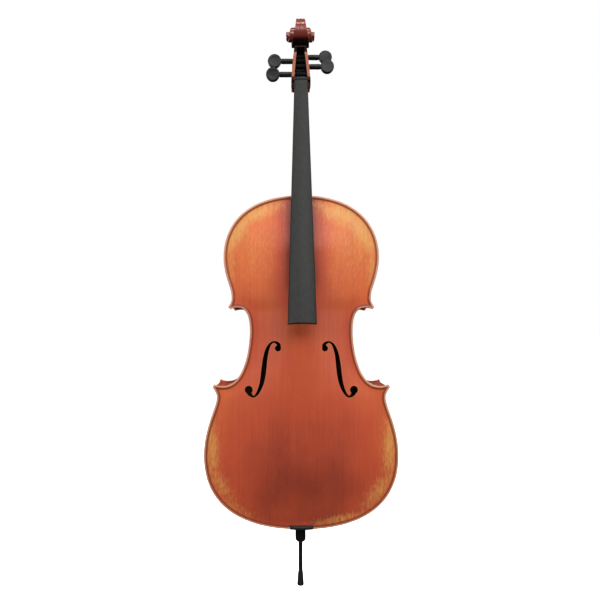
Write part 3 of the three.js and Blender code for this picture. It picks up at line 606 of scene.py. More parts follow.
def plate_triangles(cutouts, button):
    """A fine net over a plate's right half, with lines along its edge and holes where the cutouts are."""
    insets = [0, 0.25, 0.8, 1.6, 2.6, 3.5, PURFLING[0] - 0.02, PURFLING[0] + 0.02]
    insets += [PURFLING[1] - 0.02, PURFLING[1] + 0.02, 7.2, 9.5, 12.5]
    lines = [half_outline(inset) for inset in insets]
    points, edges = [], []
    for line in lines:
        start = sum(map(len, points))
        points.append(line)
        edges += [(start + i, start + i + 1) for i in range(len(line) - 1)]
    start = sum(map(len, points))
    middle = np.arange(BODY_LOW + 13, BODY_HIGH - 12, 5.0)
    points.append(np.column_stack([np.full(len(middle), SEAM), middle]))
    edges += [(0, start)]
    edges += [(start + i, start + i + 1) for i in range(len(middle) - 1)]
    edges += [(start + len(middle) - 1, len(OUTLINE) - 1)]
    for loop in cutouts:
        start = sum(map(len, points))
        points.append(loop)
        edges += [(start + i, start + (i + 1) % len(loop)) for i in range(len(loop))]
    for inset in [0, 0.25, 0.8, 1.6, 2.6] if button else []:
        start = sum(map(len, points))
        points.append(button_arc(inset))
        edges += [(start + i, start + i + 1) for i in range(len(points[-1]) - 1)]
    grid_x, grid_z = np.meshgrid(np.arange(4, 225, 4.6), np.arange(BODY_LOW + 8, BODY_HIGH, 5.2))
    grid_x[1::2] += 2.3
    grid = np.column_stack([grid_x.ravel(), grid_z.ravel()])
    grid = grid[inside(grid, OUTLINE)]
    grid = grid[edge_distance(grid) > 15]
    points.append(grid)
    flat = [Vector(p) for p in np.vstack(points).tolist()]
    verts, _, faces, *_ = geometry.delaunay_2d_cdt(flat, edges, [], 0, 1e-4)
    verts, faces = np.array([tuple(v) for v in verts]), np.array(faces)
    centres = verts[faces].mean(1)
    keep = inside(centres, OUTLINE)
    if button:
        root = np.array([(0, BODY_HIGH + BUTTON[1] - 9)])
        keep |= inside(centres, np.vstack([button_arc(0), root, root + [BUTTON[0], 0]]))
    for loop in cutouts:
        keep &= ~inside(centres, loop)
    faces = faces[keep]
    used = np.unique(faces)
    renumber = np.full(len(verts), -1)
    renumber[used] = np.arange(len(used))
    return verts[used], renumber[faces]


def plate_net(cutouts, button=False):
    """The net of a plate's right half, with each point's distance to the outline and to the real rim."""
    flat, triangles = plate_triangles(cutouts, button)
    edge = edge_distance(flat)
    beyond = ~inside(flat * [0.9999, 1], OUTLINE) & (flat[:, 1] > BODY_HIGH - 1.5) & (flat[:, 0] < BUTTON[0])
    edge[beyond & button] = 0  # the button is past the outline
    rim = edge_distance(flat, with_button()) if button else edge
    return flat, triangles, edge, rim


WEAR = {  # soft patches of golden wear: X, height, half width, half height, lean in degrees, strength
    "front": [
        (-147, 674, 20, 76, -32, 0.98), (-100, 720, 66, 20, 24, 0.92), (142, 674, 26, 78, 32, 1.0),
        (94, 718, 66, 28, -24, 1.0), (163, 596, 14, 62, 0, 0.72), (-160, 600, 13, 56, 0, 0.6),
        (-204, 188, 18, 90, 4, 0.78), (204, 196, 20, 98, -3, 0.82), (-186, 105, 20, 70, 31, 0.62),
        (180, 94, 22, 72, -37, 0.68), (-150, 52, 50, 13, -27, 0.5), (92, 26, 70, 11, 12, 0.7),
        (115, 640, 60, 84, 10, 0.45), (-108, 640, 56, 84, -10, 0.38),
    ],
    "back": [
        (0, 650, 95, 70, 0, 0.75), (-150, 640, 16, 70, -10, 0.8), (150, 640, 16, 70, 10, 0.8),
        (0, 170, 120, 85, 0, 0.7), (-204, 170, 12, 70, 0, 0.8), (204, 170, 12, 70, 0, 0.8),
        (0, 410, 60, 70, 0, 0.35),
    ],
}


def soft_patches(points, patches):
    """At each point, the strength of the patch that is strongest there."""
    total = np.zeros(len(points))
    for x, height, wide, tall, lean, strength in patches:
        c, s = math.cos(math.radians(lean)), math.sin(math.radians(lean))
        dx, dz = points[:, 0] - x, points[:, 1] - BODY_LOW - height
        across, along = dx * c + dz * s, dz * c - dx * s
        total = np.maximum(total, strength * np.exp(-((across / wide) ** 2 + (along / tall) ** 2) * 0.9))
    return total


# Painted shade and light on the belly, over the varnish's own tone: lighter towards the upper bout and darker
# towards the bottom, as light falls off from above.
BELLY_SHADE = [  # height over the body's lowest point, shade on the middle line
    (0, 0.27), (125, 0.20), (235, 0.32), (335, 0.56), (435, 0.56), (545, 0.74), (695, 0.86),
]


def belly_shade(points):
    """Painted shade and light over the varnish's tone: light in the upper bout and lower flanks, dark down
    the middle, at the waist's flanks and to the bottom.
    """
    x, height = points[:, 0], points[:, 1] - BODY_LOW
    shade = smooth_value(BELLY_SHADE, height)
    board = 27 - 12 * height / BODY_LONG  # half width of the fingerboard over each place
    # Painted shadow beside the fingerboard: a dark band that stands for the board's shadow and its dark
    # reflection in the varnish.
    board_shadow = np.exp(-((np.maximum(0, np.abs(x) - board) / 35) ** 2)) * step(462, 590, height)
    shade = shade - 0.76 * board_shadow
    # Painted light under the fingerboard's free end, which lifts the board's cast shadow there.
    shade = shade + 0.06 * np.exp(-((x / 34) ** 2) - ((height - 447) / 26) ** 2)
    shade = shade + 0.34 * step(60, 205, np.abs(x)) * step(420, 200, height)
    shade = shade - 0.25 * np.exp(-(((height - 447) / 60) ** 2)) * step(85, 118, np.abs(x))
    return np.clip(shade, 0, 1.1)


def back_shade(points):
    """Light in the middle of both bouts."""
    x, height = points[:, 0], points[:, 1] - BODY_LOW
    bouts_light = np.exp(-(((height - 175) / 120) ** 2)) + np.exp(-(((height - 640) / 100) ** 2))
    return np.clip(0.30 + 0.42 * bouts_light * np.exp(-((x / 150) ** 2)), 0, 1)


def plate_height(flat, edge, rim, arch_high):
    """How far the outer face stands out of the plane of the edge, and how deep the purfling's groove is."""
    outermost = np.clip(1 - rim / EDGE_ROUND, 0, 1)
    rounded = -EDGE_DROP * (1 - np.sqrt(1 - outermost**2))
    channel = -CHANNEL * step(2.6, 8.5, edge) * (1 - step(10, 34, edge))
    groove = -PURFLING_DEEP * ((edge > PURFLING[0]) & (edge < PURFLING[1]))
    return arch_high * arching(flat) + rounded + channel, groove


def plate_half(name, side, face, net, arch_high, slot, materials):
    """One half of a plate. side is -1 or 1 for its half, face is -1 or 1 for front or back."""
    flat, triangles, edge, rim = net
    height, groove = plate_height(flat, edge, rim, arch_high)
    plane = FRONT if face < 0 else BACK
    near = plane + face * (height + groove)
    far = plane - face * (PLATE - arch_high * arching(flat))
    rounded_under = 0.8 * np.clip(1 - rim / 0.9, 0, 1)
    far = far + face * rounded_under
    own = flat * [side, 1]
    turned_over = side * face < 0
    order = triangles[:, ::-1] if turned_over else triangles
    verts, faces, walls = thickened(own, order, near, far)
    shade = (belly_shade if face < 0 else back_shade)(own)
    wear = soft_patches(own, WEAR["front" if face < 0 else "back"])
    shown_edge = np.where(edge < 3, np.minimum(rim, 3), edge)
    cut = (edge[walls] > 20) & (flat[walls, 0] > 1)  # only the sound hole's walls are this far in
    # The top's rim round each sound hole is painted pale gold, a painted highlight along the cut edge.
    wear[walls[cut]] = np.maximum(wear[walls[cut]], 0.42)
    under_edge = np.where(edge > RIM_BARE, NO_EDGE, shown_edge)
    values = {
        "edge": np.concatenate([shown_edge, under_edge]),
        "shade": np.tile(shade, 2),
        "wear": np.tile(wear, 2),
    }
    under = inside(flat[order].mean(1), RIB_LINE)
    which = np.concatenate([np.zeros(len(order)), np.where(under, 2, 0), np.where(cut, 1, 0)])
    add_piece(name, verts, faces, "body", slot, [name], materials, 34, values, which)


def purfling_half(name, side, face, arch_high, material):
    """The inlaid strip round one half, in three thin plies."""
    plies = np.linspace(PURFLING[0] + 0.03, PURFLING[1] - 0.03, 4)
    lines = [bouts(inset) for inset in plies]
    verts, faces, across = [], [], []
    plane = FRONT if face < 0 else BACK
    for bout in ("lower", "middle", "upper"):
        flats = [line[bout] for line in lines]
        if face < 0 and bout == "upper":  # stops where the neck's root is let in
            clear = min((flat[:, 0] > 23.2).sum() for flat in flats)
            flats = [flat[:clear] for flat in flats]
        rings = []
        for i in range(len(flats[0])):
            ring = []
            for flat, inset in zip(flats, plies):
                here = np.array([inset])
                height, _ = plate_height(flat[i : i + 1], here, here, arch_high)
                ring.append((side * flat[i, 0], plane + face * (height[0] - 0.04), flat[i, 1]))
            for x, y, z in ring[::-1]:
                ring.append((x, y - face * (PURFLING_DEEP - 0.1), z))
            rings.append(ring)
        if side * face > 0:
            rings = [ring[::-1] for ring in rings]
        v, f = lofted(rings)
        start = sum(map(len, verts))
        verts.append(v)
        faces += [[start + i for i in face_] for face_ in f]
        ply = [0, 1, 2, 3, 3, 2, 1, 0]
        across += (ply[::-1] if side * face > 0 else ply) * len(rings)
    add_piece(name, np.vstack(verts), faces, "body", "purfling", [name], [material], 30, {"across": across})


def purfling_paint():
    paint = Paint("purfling", Roughness=0.45, **VARNISH)
    across = paint.value("across")
    middle = paint.math("MULTIPLY", paint.between(across, 0.9, 1.2), paint.between(across, 2.1, 1.8))
    grain = paint.noise(paint.place(), 900, 3)
    colour = paint.mix(middle, (0.16, 0.038, 0.022), (0.38, 0.13, 0.060))
    paint.colour(paint.mix(1.0, colour, paint.grey(grain, 0.7, 1.3), "MULTIPLY"))
    return paint.material


def rectangle(half, low, high):
    """An outline to cut out of a plate's right half. It reaches past the middle line."""
    return np.array([(-5, low), (half, low), (half, high), (-5, high)], float)


def plates():
    """Both plates, in halves, and the purfling that is let into them."""
    top = spruce()
    cut_edge = plain_wood("cut_spruce_edge", (0.50, 0.22, 0.11), (0.22, 0.08, 0.04), (300, 60, 300))
    top_inside = plain_wood("bare_spruce_inside", (0.62, 0.44, 0.25), (0.46, 0.29, 0.14), (260, 20, 6))
    back_maple = maple("varnished_maple_back", sloping("X", 0.28, "X", 0.25, mirrored=True))
    back_inside = plain_wood("bare_maple_inside", (0.22, 0.13, 0.075), (0.15, 0.085, 0.045), (120, 20, 8))
    strip = purfling_paint()
    neck_notch = rectangle(23.3, BODY_HIGH - NECK_LET_IN - 0.3, BODY_HIGH + 5)
    saddle_notch = rectangle(SADDLE[0] + 0.3, BODY_LOW - 5, BODY_LOW + SADDLE[2] + 0.5)
    front = plate_net([*sound_hole_loops(), neck_notch, saddle_notch])
    back = plate_net([], button=True)
    for half, side in (("bass", -1), ("treble", 1)):
        for plate, face, net, high, slot, paints in (
            ("front", -1, front, FRONT_ARCH, "spruce_varnish", [top, cut_edge, top_inside]),
            ("back", 1, back, BACK_ARCH, "maple_varnish", [back_maple, back_maple, back_inside]),
        ):
            plate_half(f"{plate}_plate_{half}", side, face, net, high, slot, paints)
            purfling_half(f"purfling_{plate}_{half}", side, face, high, strip)


def sloping(over, slope, across, spread, mirrored=False):
    """A maker of flame coordinates: bands up Z that climb over one axis and are drawn out across another."""

    def flame_vector(paint):
        parts = paint.node("ShaderNodeSeparateXYZ")
        paint.feed(parts.inputs[0], paint.place())
        out = parts.outputs[over]
        if mirrored:
            out = paint.math("ABSOLUTE", out)
        climb = paint.math("MULTIPLY", out, slope)
        join = paint.node("ShaderNodeCombineXYZ")
        paint.feed(join.inputs["X"], paint.math("ADD", parts.outputs["Z"], climb))
        paint.feed(join.inputs["Y"], paint.math("MULTIPLY", parts.outputs[across], spread))
        return join.outputs[0]

    return flame_vector


# ---- Neck and scroll ----

BOARD_LONG = 575.0
BOARD_WIDE = (31.0, 62.6)  # at the nut and at the free end
BOARD_RADIUS = 62.0  # of the fingerboard's crown
BOARD_SIDE = 6.5  # thickness of the fingerboard at its sides
NUT_WIDE = 44.4
NUT_PROFILE = [  # up, how far the nut's top is from the fingerboard's crown
    (0.06, -0.9), (0.3, -1.7), (1.2, -2.2), (3.2, -2.3), (5.2, -1.7), (6.8, -0.6), (7.8, 0.3), (8, 0.6),
]
NUT_SEAT = (-4.0, 8.1)  # from where to where the neck is cut flat under the nut
STRING_PLACES = (-10.8, -3.6, 3.6, 10.8)  # of the nut's four notches

NECK_THICKNESS = [(-262, 34), (-230, 32.5), (-150, 30.5), (-60, 29), (-10, 28.6), (5, 27)]
PEGBOX = [  # up from the nut, front edge, back, half width
    (-14, 9.2, 30, 20), (-11, 9, 33.5, 22.3), (-4, 8.6, 38, 22.6), (2, 3.4, 42, 22.6), (15, 5.4, 48.5, 21.8),
    (40, 10.6, 55.5, 20), (70, 16.8, 61, 17.8), (92, 21.4, 65.5, 16), (108, 24.8, 70, 15), (117, 28, 69, 14),
]
CHEEK = 6.6  # thickness of the pegbox's cheeks
PEGBOX_FLOOR = 9.0  # thickness of its floor
HOLLOW = (8.4, 104.0)  # where the pegbox's hollow starts and ends, up from the nut
FILLET = 22.0  # radius between the back of the neck and the heel

EYE = (138.0, 32.0, 10.0)  # up from the nut, back from the board's top, radius
VOLUTE = (-95, 745)  # first and last angle, from the back by way of the top and the front
VOLUTE_RADIUS = [
    (-95, 43), (-60, 46.5), (-38, 48), (-18, 45.6), (0, 44), (90, 41), (131, 38), (180, 36), (225, 32.4),
    (270, 27.3), (310, 24.3), (360, 22.8), (450, 20.5), (540, 17), (630, 14), (700, 11.4), (745, 10),
]
VOLUTE_HALF = [  # half width of the scroll at each angle of its spiral
    (-95, 0), (-90, 12), (-80, 14.6), (-30, 14.6), (0, 12.7), (90, 11), (131, 10.3), (160, 11.4),
    (180, 13), (200, 15.8), (220, 18.6), (240, 20.2), (270, 20.9), (360, 21.5), (450, 22.5),
    (540, 26), (630, 29), (700, 32), (745, 33.2),
]
PEGS = [  # name, up, back, side of its head, reach, turn of its head
    ("peg_c", 31, 26, -1, 82.4, 20), ("peg_a", 57, 33, 1, 80.4, 12),
    ("peg_g", 76, 39, -1, 78.8, 16), ("peg_d", 92, 46, 1, 77, 4),
]
PEG_HEAD = [  # share of the head's radius, share of its thickness
    (0, 0.84), (0.4, 0.87), (0.65, 0.95), (0.82, 1.0), (0.91, 0.92), (0.97, 0.62), (1.0, 0.2),
]
# Painted shade and light along the head: darkest under the scroll, lightest on its top, where light from
# above falls.
HEAD_SHADE = [  # up from the nut, shade
    (-40, 0.3), (0, 0.2), (90, 0.1), (118, -0.3), (138, -0.2), (156, 0.05), (186, 0.75),
]


def board_half(up):
    """Half the width of the fingerboard. up is negative below the nut."""
    return (BOARD_WIDE[0] + (BOARD_WIDE[1] - BOARD_WIDE[0]) * -up / BOARD_LONG) / 2


def neck_half(up):
    """Half the width of the neck under the fingerboard, a hair less than the board's."""
    return board_half(up) - 0.15


def board_crown(x):
    """How far back the fingerboard's rounded top has fallen at X."""
    return BOARD_RADIUS - np.sqrt(BOARD_RADIUS**2 - np.square(x))


def board_under(up):
    """How far back the fingerboard's glue line is."""
    return board_crown(board_half(up)) + BOARD_SIDE


def rows_of(table, at):
    """Every column of a table of rows, read at each place."""
    return [smooth_value([(row[0], row[k]) for row in table], at) for k in range(1, len(table[0]))]


def row_of(table, at):
    return [float(column) for column in rows_of(table, at)]


def face_centres(verts, faces):
    """The mean of each face's corners. Faces may have any number of them."""
    sizes = np.array([len(face) for face in faces])
    owner = np.repeat(np.arange(len(faces)), sizes)
    total = np.zeros((len(faces), 3))
    np.add.at(total, owner, verts[np.concatenate(faces)])
    return total / sizes[:, None]


def neck_rings():
    """Sections of the neck from the pegbox to the heel's end, turning from across the neck to level."""
    rings = []

    def ring(base, nose, base_half, nose_half, rounded):
        depth = (nose - base).length
        straight = max(depth - rounded, 0)
        across = (nose - base).normalized()
        points = []
        for share in (0, 0.5, 1):
            half = base_half + (nose_half - base_half) * share
            points.append((half, base + across * straight * share))
        for a in np.linspace(0, np.pi, 25)[1:-1]:
            out = straight + (depth - straight) * math.sin(a)
            points.append((nose_half * math.cos(a), base + across * out))
        points += [(-x, p) for x, p in points[2::-1]]
        rings.append([(x, p.y, p.z) for x, p in points])

    def in_neck(up, back):
        return NECK_FRAME @ Vector((0, back, up))

    centre_up = -220.0
    underside = float(smooth_value(NECK_THICKNESS, centre_up))
    centre = in_neck(centre_up, underside + FILLET)
    for up in np.linspace(5, centre_up, 26):
        thick = float(smooth_value(NECK_THICKNESS, up))
        flat = float(board_under(min(0, up))) + GLUE
        half = neck_half(up)
        ring(in_neck(up, flat), in_neck(up, thick), half, half, thick - flat)
    low = BODY_HIGH - NECK_LET_IN
    rise = centre.z - FILLET - BODY_HIGH
    start = math.atan2(math.sin(NECK_LEAN), -math.cos(NECK_LEAN))
    for share in np.linspace(0, 1, 16)[1:]:
        angle = start + (math.pi * 1.5 - start) * share
        out = Vector((0, math.cos(angle), math.sin(angle)))
        nose = centre + out * FILLET
        base, base_half = heel_base(nose, out, low)
        nose_half = neck_half(centre_up) * (1 - share) + heel_half_width(nose.y) * share
        rounded = 20.5 + (rise - 20.5) * share
        ring(base, nose, base_half, nose_half, rounded)
    last = BACK - PLATE - GLUE
    for y in np.linspace(centre.y, last, 14)[1:]:
        high = float(smooth_value([(centre.y, rise), (-12, 22.6), (22, 19.5), (last, 18)], y))
        half = heel_half_width(y)
        ring(Vector((0, y, low)), Vector((0, y, BODY_HIGH + high)), half, half, high)
    return rings


def heel_base(nose, out, low):
    """Where a section's line leaves the neck: at the fingerboard's glue line or at the foot of the heel."""
    inverse = NECK_FRAME.inverted()
    reach = (nose.z - low) / -out.z if out.z < 0 else 1e9
    at_foot = nose + out * reach
    a, b = inverse @ nose, inverse @ (nose + out)
    step_up, step_back = b.z - a.z, b.y - a.y
    glue = 0.0
    for _ in range(12):
        up = a.z + step_up * glue
        glue = (float(board_under(min(0, up))) + GLUE - a.y) / step_back if step_back < 0 else 1e9
    if glue < reach:
        at_board = nose + out * glue
        return at_board, neck_half((inverse @ at_board).z)
    return at_foot, heel_half_width(at_foot.y)


def pegbox_rings():
    """The outside of the pegbox: flat cheeks, and a back with two shallow flutes and a ridge between them."""
    rings = []
    ups = np.concatenate([[-14, -13.6, -12.6], np.linspace(-11, 117, 48)])
    for up in ups:
        front, back, half = row_of(PEGBOX, up)
        soft_end = 1.6 * (1 - math.sqrt(1 - min(1, max(0, (-12.4 - up) / 1.6)) ** 2))
        half -= soft_end
        fluted = 2.4 * float(step(-2, 40, up))
        corner = min(3.2, (back - front) / 5)
        right = [(half - 1.0, front), (half - 0.3, front + 0.3), (half, front + 1.0)]
        right += [(half, back - corner - 1), (half - 0.35, back - corner * 0.55), (half - 1.5, back - 0.6)]
        right += [(half - 2.6, back - 0.2)]
        for share in np.linspace(0, 1, 12)[1:]:
            x = (half - 2.6) * (1 - share)
            right.append((x, back - 0.2 - fluted * math.sin(math.pi * share) ** 0.8 - fluted * 0.15 * share))
        ring = right + [(-x, y) for x, y in right[-2::-1]]
        rings.append([(x, y, up) for x, y in ring])
    return rings


def cavity_rings():
    """The pegbox's hollow, whose floor rises at both ends."""
    rings = []
    low, high = HOLLOW
    for up in np.linspace(low, high, 24):
        _, back, half = row_of(PEGBOX, up)
        half -= CHEEK
        near_end = max(0.0, (up - (high - 16)) / 16)
        near_start = max(0.0, (low + 6 - up) / 6)
        end_rise = 16 * (1 - math.sqrt(1 - near_end**2))
        start_rise = 5 * (1 - math.sqrt(1 - near_start**2))
        floor = back - PEGBOX_FLOOR - end_rise - start_rise
        right = [(half, -12), (half, floor - 6), (half - 0.6, floor - 3)]
        right += [(half - 2.4, floor - 0.8), (half - 5, floor)]
        rings.append([(x, y, up) for x, y in right + [(-x, y) for x, y in right[::-1]]])
    return rings


def volute_mesh():
    """Both sides of the scroll: a spiral band that steps outwards turn by turn to its eye."""
    degrees = 5
    first, last = VOLUTE
    depth_full = 2.6
    wall = 9
    scoop = 8

    def radius(at):
        return float(smooth_value(VOLUTE_RADIUS, at))

    def half(at):
        return float(smooth_value(VOLUTE_HALF, at))

    def floor(at):
        deep = depth_full * min(1, (last - at) / 130, (at - first) / 40)
        return half(at) - deep

    def bevel_of(at, top, foot):
        """How wide each turn's softened edge is: widest on top of the second turn."""
        wide = 1.3 + 3.6 * math.exp(-(((at - 450) / 48) ** 2))
        return min(wide, max(0.0, (top - foot) / 3))

    def at_point(r, angle, x):
        return (x, EYE[1] + r * math.cos(angle), EYE[0] + r * math.sin(angle))

    def wall_points(at, top, top_radius):
        """A turn's outer face from its foot to its bevelled edge. The first turn is fluted on both sides."""
        angle = math.radians(at)
        foot = 0.0 if at < first + 360 else floor(at - 360)
        bevel = bevel_of(at, top, foot)
        fluted = 0.0
        if at < first + 360:
            fluted = float(step(-70, -20, at)) * float(step(285, 235, at))
            fluted *= 1.5 - 0.7 * float(step(20, 70, at))
        points = []
        for share in np.linspace(0, 1, wall):
            x = foot + (top - bevel - foot) * share
            dip = fluted * math.sin(math.pi * min(1, share * 1.02)) ** 0.75
            points.append(at_point(top_radius - dip, angle, x))
        points.append(at_point(top_radius - bevel * 0.3, angle, top - bevel * 0.3))
        points.append(at_point(top_radius - bevel, angle, top))
        return points

    rows = []
    for at in range(first, last + 1, degrees):
        angle = math.radians(at)
        r, top, low = radius(at), half(at), floor(at)
        inner = radius(at + 360) if at + 360 < last else EYE[2]
        points = wall_points(at, top, r)
        start = r - bevel_of(at, top, 0.0 if at < first + 360 else floor(at - 360))
        for share in np.linspace(0, 1, scoop)[1:]:
            dip = (top - low) * (math.sin(math.pi / 2 * share) ** 0.7)
            points.append(at_point(start + (inner - start) * share, angle, top - dip))
        rows.append(points)
    verts, faces = lofted(rows, closed=False, capped=False)
    top = half(last)
    cap_rows = []
    for at in range(last, last + 361, degrees):
        angle = math.radians(at)
        foot = floor(min(at - 360, last))
        row = [at_point(EYE[2], angle, foot + (top - foot) * share) for share in np.linspace(0, 1, wall)]
        for a in np.linspace(0, math.pi / 2, 7)[1:]:
            row.append(at_point(EYE[2] * math.cos(a), angle, top + 1.7 * math.sin(a)))
        cap_rows.append(row)
    eye_verts, eye_faces = lofted(cap_rows, closed=False, capped=False)
    faces += [[i + len(verts) for i in face] for face in eye_faces]
    verts = np.vstack([verts, eye_verts])
    faces += [[i + len(verts) for i in face[::-1]] for face in faces]
    return np.vstack([verts, verts * [-1, 1, 1]]), faces


def scratch_solid(verts, faces):
    """A welded, outward-facing helper object for cutting and joining, in metres."""
    mesh = bpy.data.meshes.new("scratch")
    mesh.from_pydata((np.asarray(verts, float) * MM).tolist(), [], [list(map(int, f)) for f in faces])
    welded = bmesh.new()
    welded.from_mesh(mesh)
    bmesh.ops.remove_doubles(welded, verts=welded.verts, dist=1e-6)
    bmesh.ops.dissolve_degenerate(welded, edges=welded.edges, dist=1e-6)
    bmesh.ops.recalc_face_normals(welded, faces=welded.faces)
    welded.to_mesh(mesh)
    welded.free()
    made = bpy.data.objects.new("scratch", mesh)
    bpy.context.collection.objects.link(made)
    return made


def combined(base, others):
    """A solid's mesh after each (operation, solid) has been applied to it, as vertices in mm and faces."""
    for operation, other in others:
        change = base.modifiers.new("change", "BOOLEAN")
        change.operation = operation
        change.solver = "EXACT"
        change.object = other
    evaluated = base.evaluated_get(bpy.context.evaluated_depsgraph_get())
    mesh = bpy.data.meshes.new_from_object(evaluated)
    verts = np.array([tuple(v.co) for v in mesh.vertices]) / MM
    faces = [list(p.vertices) for p in mesh.polygons]
    for made in [base] + [other for _, other in others]:
        bpy.data.objects.remove(made)
    bpy.data.meshes.remove(mesh)
    return verts, faces


def raised_edges(verts, faces):
    """How far each vertex stands out of its neighbours, in mm, smoothed: high on edges, low in hollows."""
    mesh = bpy.data.meshes.new("scratch")
    mesh.from_pydata(verts.tolist(), [], faces)
    mesh.update()
    normals = np.zeros(len(verts) * 3)
    mesh.vertices.foreach_get("normal", normals)
    normals = normals.reshape(-1, 3)
    edges = np.array([tuple(e.vertices) for e in mesh.edges])
    bpy.data.meshes.remove(mesh)
    a, b = edges.T
    gap = verts[b] - verts[a]
    length = np.linalg.norm(gap, axis=1) + 1e-9
    total, count = np.zeros(len(verts)), np.zeros(len(verts))
    np.add.at(total, a, -(normals[a] * gap).sum(1) / length)
    np.add.at(total, b, (normals[b] * gap).sum(1) / length)
    np.add.at(count, a, 1)
    np.add.at(count, b, 1)
    value = total / np.maximum(count, 1)
    for _ in range(2):
        spread = np.zeros(len(verts))
        np.add.at(spread, a, value[b])
        np.add.at(spread, b, value[a])
        value = 0.5 * value + 0.5 * spread / np.maximum(count, 1)
    return value


def peg_taper(distance):
    """A peg's radius at a distance from the middle of the pegbox towards its head."""
    return 5.2 + (6.4 - 5.2) * (distance + 26) / 74


def neck_paints(centres):
    """The material of each face: varnish 0, the pegbox's inside 1, the glue line 2, worn cheek fronts 3."""
    x, deep, up = np.abs(centres[:, 0]), centres[:, 1], centres[:, 2]
    front, back, half = rows_of(PEGBOX, up)
    hollow = (x < half - CHEEK + 0.2) & (deep < back - PEGBOX_FLOOR + 0.4)
    hollow &= (up > HOLLOW[0] - 0.1) & (up < HOLLOW[1] + 0.4)
    glued = (up < -12) & (np.abs(deep - board_under(np.minimum(0, up))) < 0.3)
    cheek = (deep < front + 0.6) & (up > 8) & (up < 85)
    return np.select([hollow, glued, cheek], [1, 2, 3], 0)


def neck_values(verts, faces, local):
    """The neck's painted shade and light, its wear on raised edges, and painted light on top of the scroll.
    """
    x, deep, up = np.abs(local[:, 0]), local[:, 1], local[:, 2]
    shade = smooth_value(HEAD_SHADE, up)
    # Painted shade in the throat between the cheeks, under the scroll, on the front only.
    shade -= 1.2 * step(84, 90, up) * step(122, 108, up) * step(56, 36, deep)
    # Painted shade on the pegbox's shoulders beside the nut, on the front only.
    shade -= 1.0 * step(-18, -13, up) * step(10, 6, up) * step(30, 18, deep)
    rubbed = 0.3 * step(0.12, 0.4, raised_edges(verts, faces)) * step(-0.4, 0.0, shade)
    # The scroll's top is painted a lighter gold: painted light where light from above falls on it.
    top_painted_light = 0.7 * step(142, 178, up) * step(17, 12, x)
    return {"edge": np.full(len(verts), NO_EDGE), "shade": shade, "wear": rubbed + top_painted_light}


def neck_and_scroll(materials):
    """Neck, pegbox and scroll as one carved piece, with its hollow, its four bores and the nut's seat."""
    neck = scratch_solid(*lofted(neck_rings()))
    pegbox, volute, cavity = [
        scratch_solid(moved(verts, NECK_FRAME), faces)
        for verts, faces in (lofted(pegbox_rings()), volute_mesh(), lofted(cavity_rings()))
    ]
    changes = [("UNION", pegbox), ("UNION", volute), ("DIFFERENCE", cavity)]
    for _, up, back, side, _, _ in PEGS:
        bore = [(0, -30), (peg_taper(-30) + 0.12, -30), (peg_taper(30) + 0.12, 30), (0, 30)]
        place = NECK_FRAME @ Matrix.Translation((0, back, up)) @ Matrix.Rotation(side * math.pi / 2, 4, "Y")
        verts, faces = turned(bore, 40)
        changes.append(("DIFFERENCE", scratch_solid(moved(verts, place), faces)))
    low, high = NUT_SEAT
    seat = [
        [(-40, y, low), (40, y, low), (40, y, high), (-40, y, high)]
        for y in (-40, float(board_under(0)) + GLUE)
    ]
    verts, faces = lofted(seat)
    changes.append(("DIFFERENCE", scratch_solid(moved(verts, NECK_FRAME), faces)))
    verts, faces = combined(neck, changes)
    local = moved(verts, NECK_FRAME.inverted())
    values = neck_values(verts, faces, local)
    which = neck_paints(face_centres(local, faces))
    name = "neck_and_scroll"
    add_piece(name, verts, faces, "body", "maple_varnish", [name], materials, 40, values, which)


def peg_shaft(end, rim_at, head_at):
    """Radius and reach of a peg's stem, from its far end through the pegbox to the middle of its head."""
    narrow, wide = peg_taper(end), peg_taper(26)
    shaft = [(0, end), (narrow - 1.8, end), (narrow - 0.6, end + 0.4), (narrow, end + 1.5)]
    shaft += [(peg_taper(at), at) for at in (-12.5, 12.5, 26)]
    shaft += [(wide + 0.1, rim_at - 6), (wide + 0.1, rim_at - 2.4), (5.7, rim_at - 0.6)]
    shaft += [(5.0, rim_at + 2), (4.5, rim_at + 5), (4.2, head_at), (0, head_at)]
    return shaft


def peg_head():
    """Radius and height of a peg's head, a thick disc with a soft rim."""
    radii = np.concatenate([[0], np.linspace(0.12, 0.8, 7), [0.86, 0.91, 0.95, 0.98, 0.995, 1.0]])
    rim = [(r * HEAD_RADIUS, 5.5 * float(smooth_value(PEG_HEAD, r))) for r in radii]
    return [(r, -t) for r, t in rim] + rim[::-1]


def pegs(material, shadowed):
    """Each peg's middle, which stays within the pegbox, is painted darker and duller than the rest, as
    painted shade inside the pegbox.
    """
    for name, up, back, side, reach, turn in PEGS:
        head_at = reach - HEAD_RADIUS
        half = row_of(PEGBOX, up)[2]
        stem, stem_faces = turned(peg_shaft(-(half + 1.5), head_at - HEAD_RADIUS, head_at), 40)
        head, head_faces = turned(peg_head(), 56)
        stem = moved(stem, Matrix.Rotation(side * math.pi / 2, 4, "Y"))
        upright = Matrix.Rotation(math.pi / 2 + math.radians(turn), 4, "X")
        head = moved(head, Matrix.Translation((side * head_at, 0, 0)) @ upright)
        place = NECK_FRAME @ Matrix.Translation((0, back, up))
        verts = moved(np.vstack([stem, head]), place)
        faces = stem_faces + [[i + len(stem) for i in face] for face in head_faces]
        within = np.abs(face_centres(verts, faces)[:, 0]) < half - CHEEK + 1
        add_piece(name, verts, faces, name, "peg_wood", [name], [material, shadowed], 50, None, within)


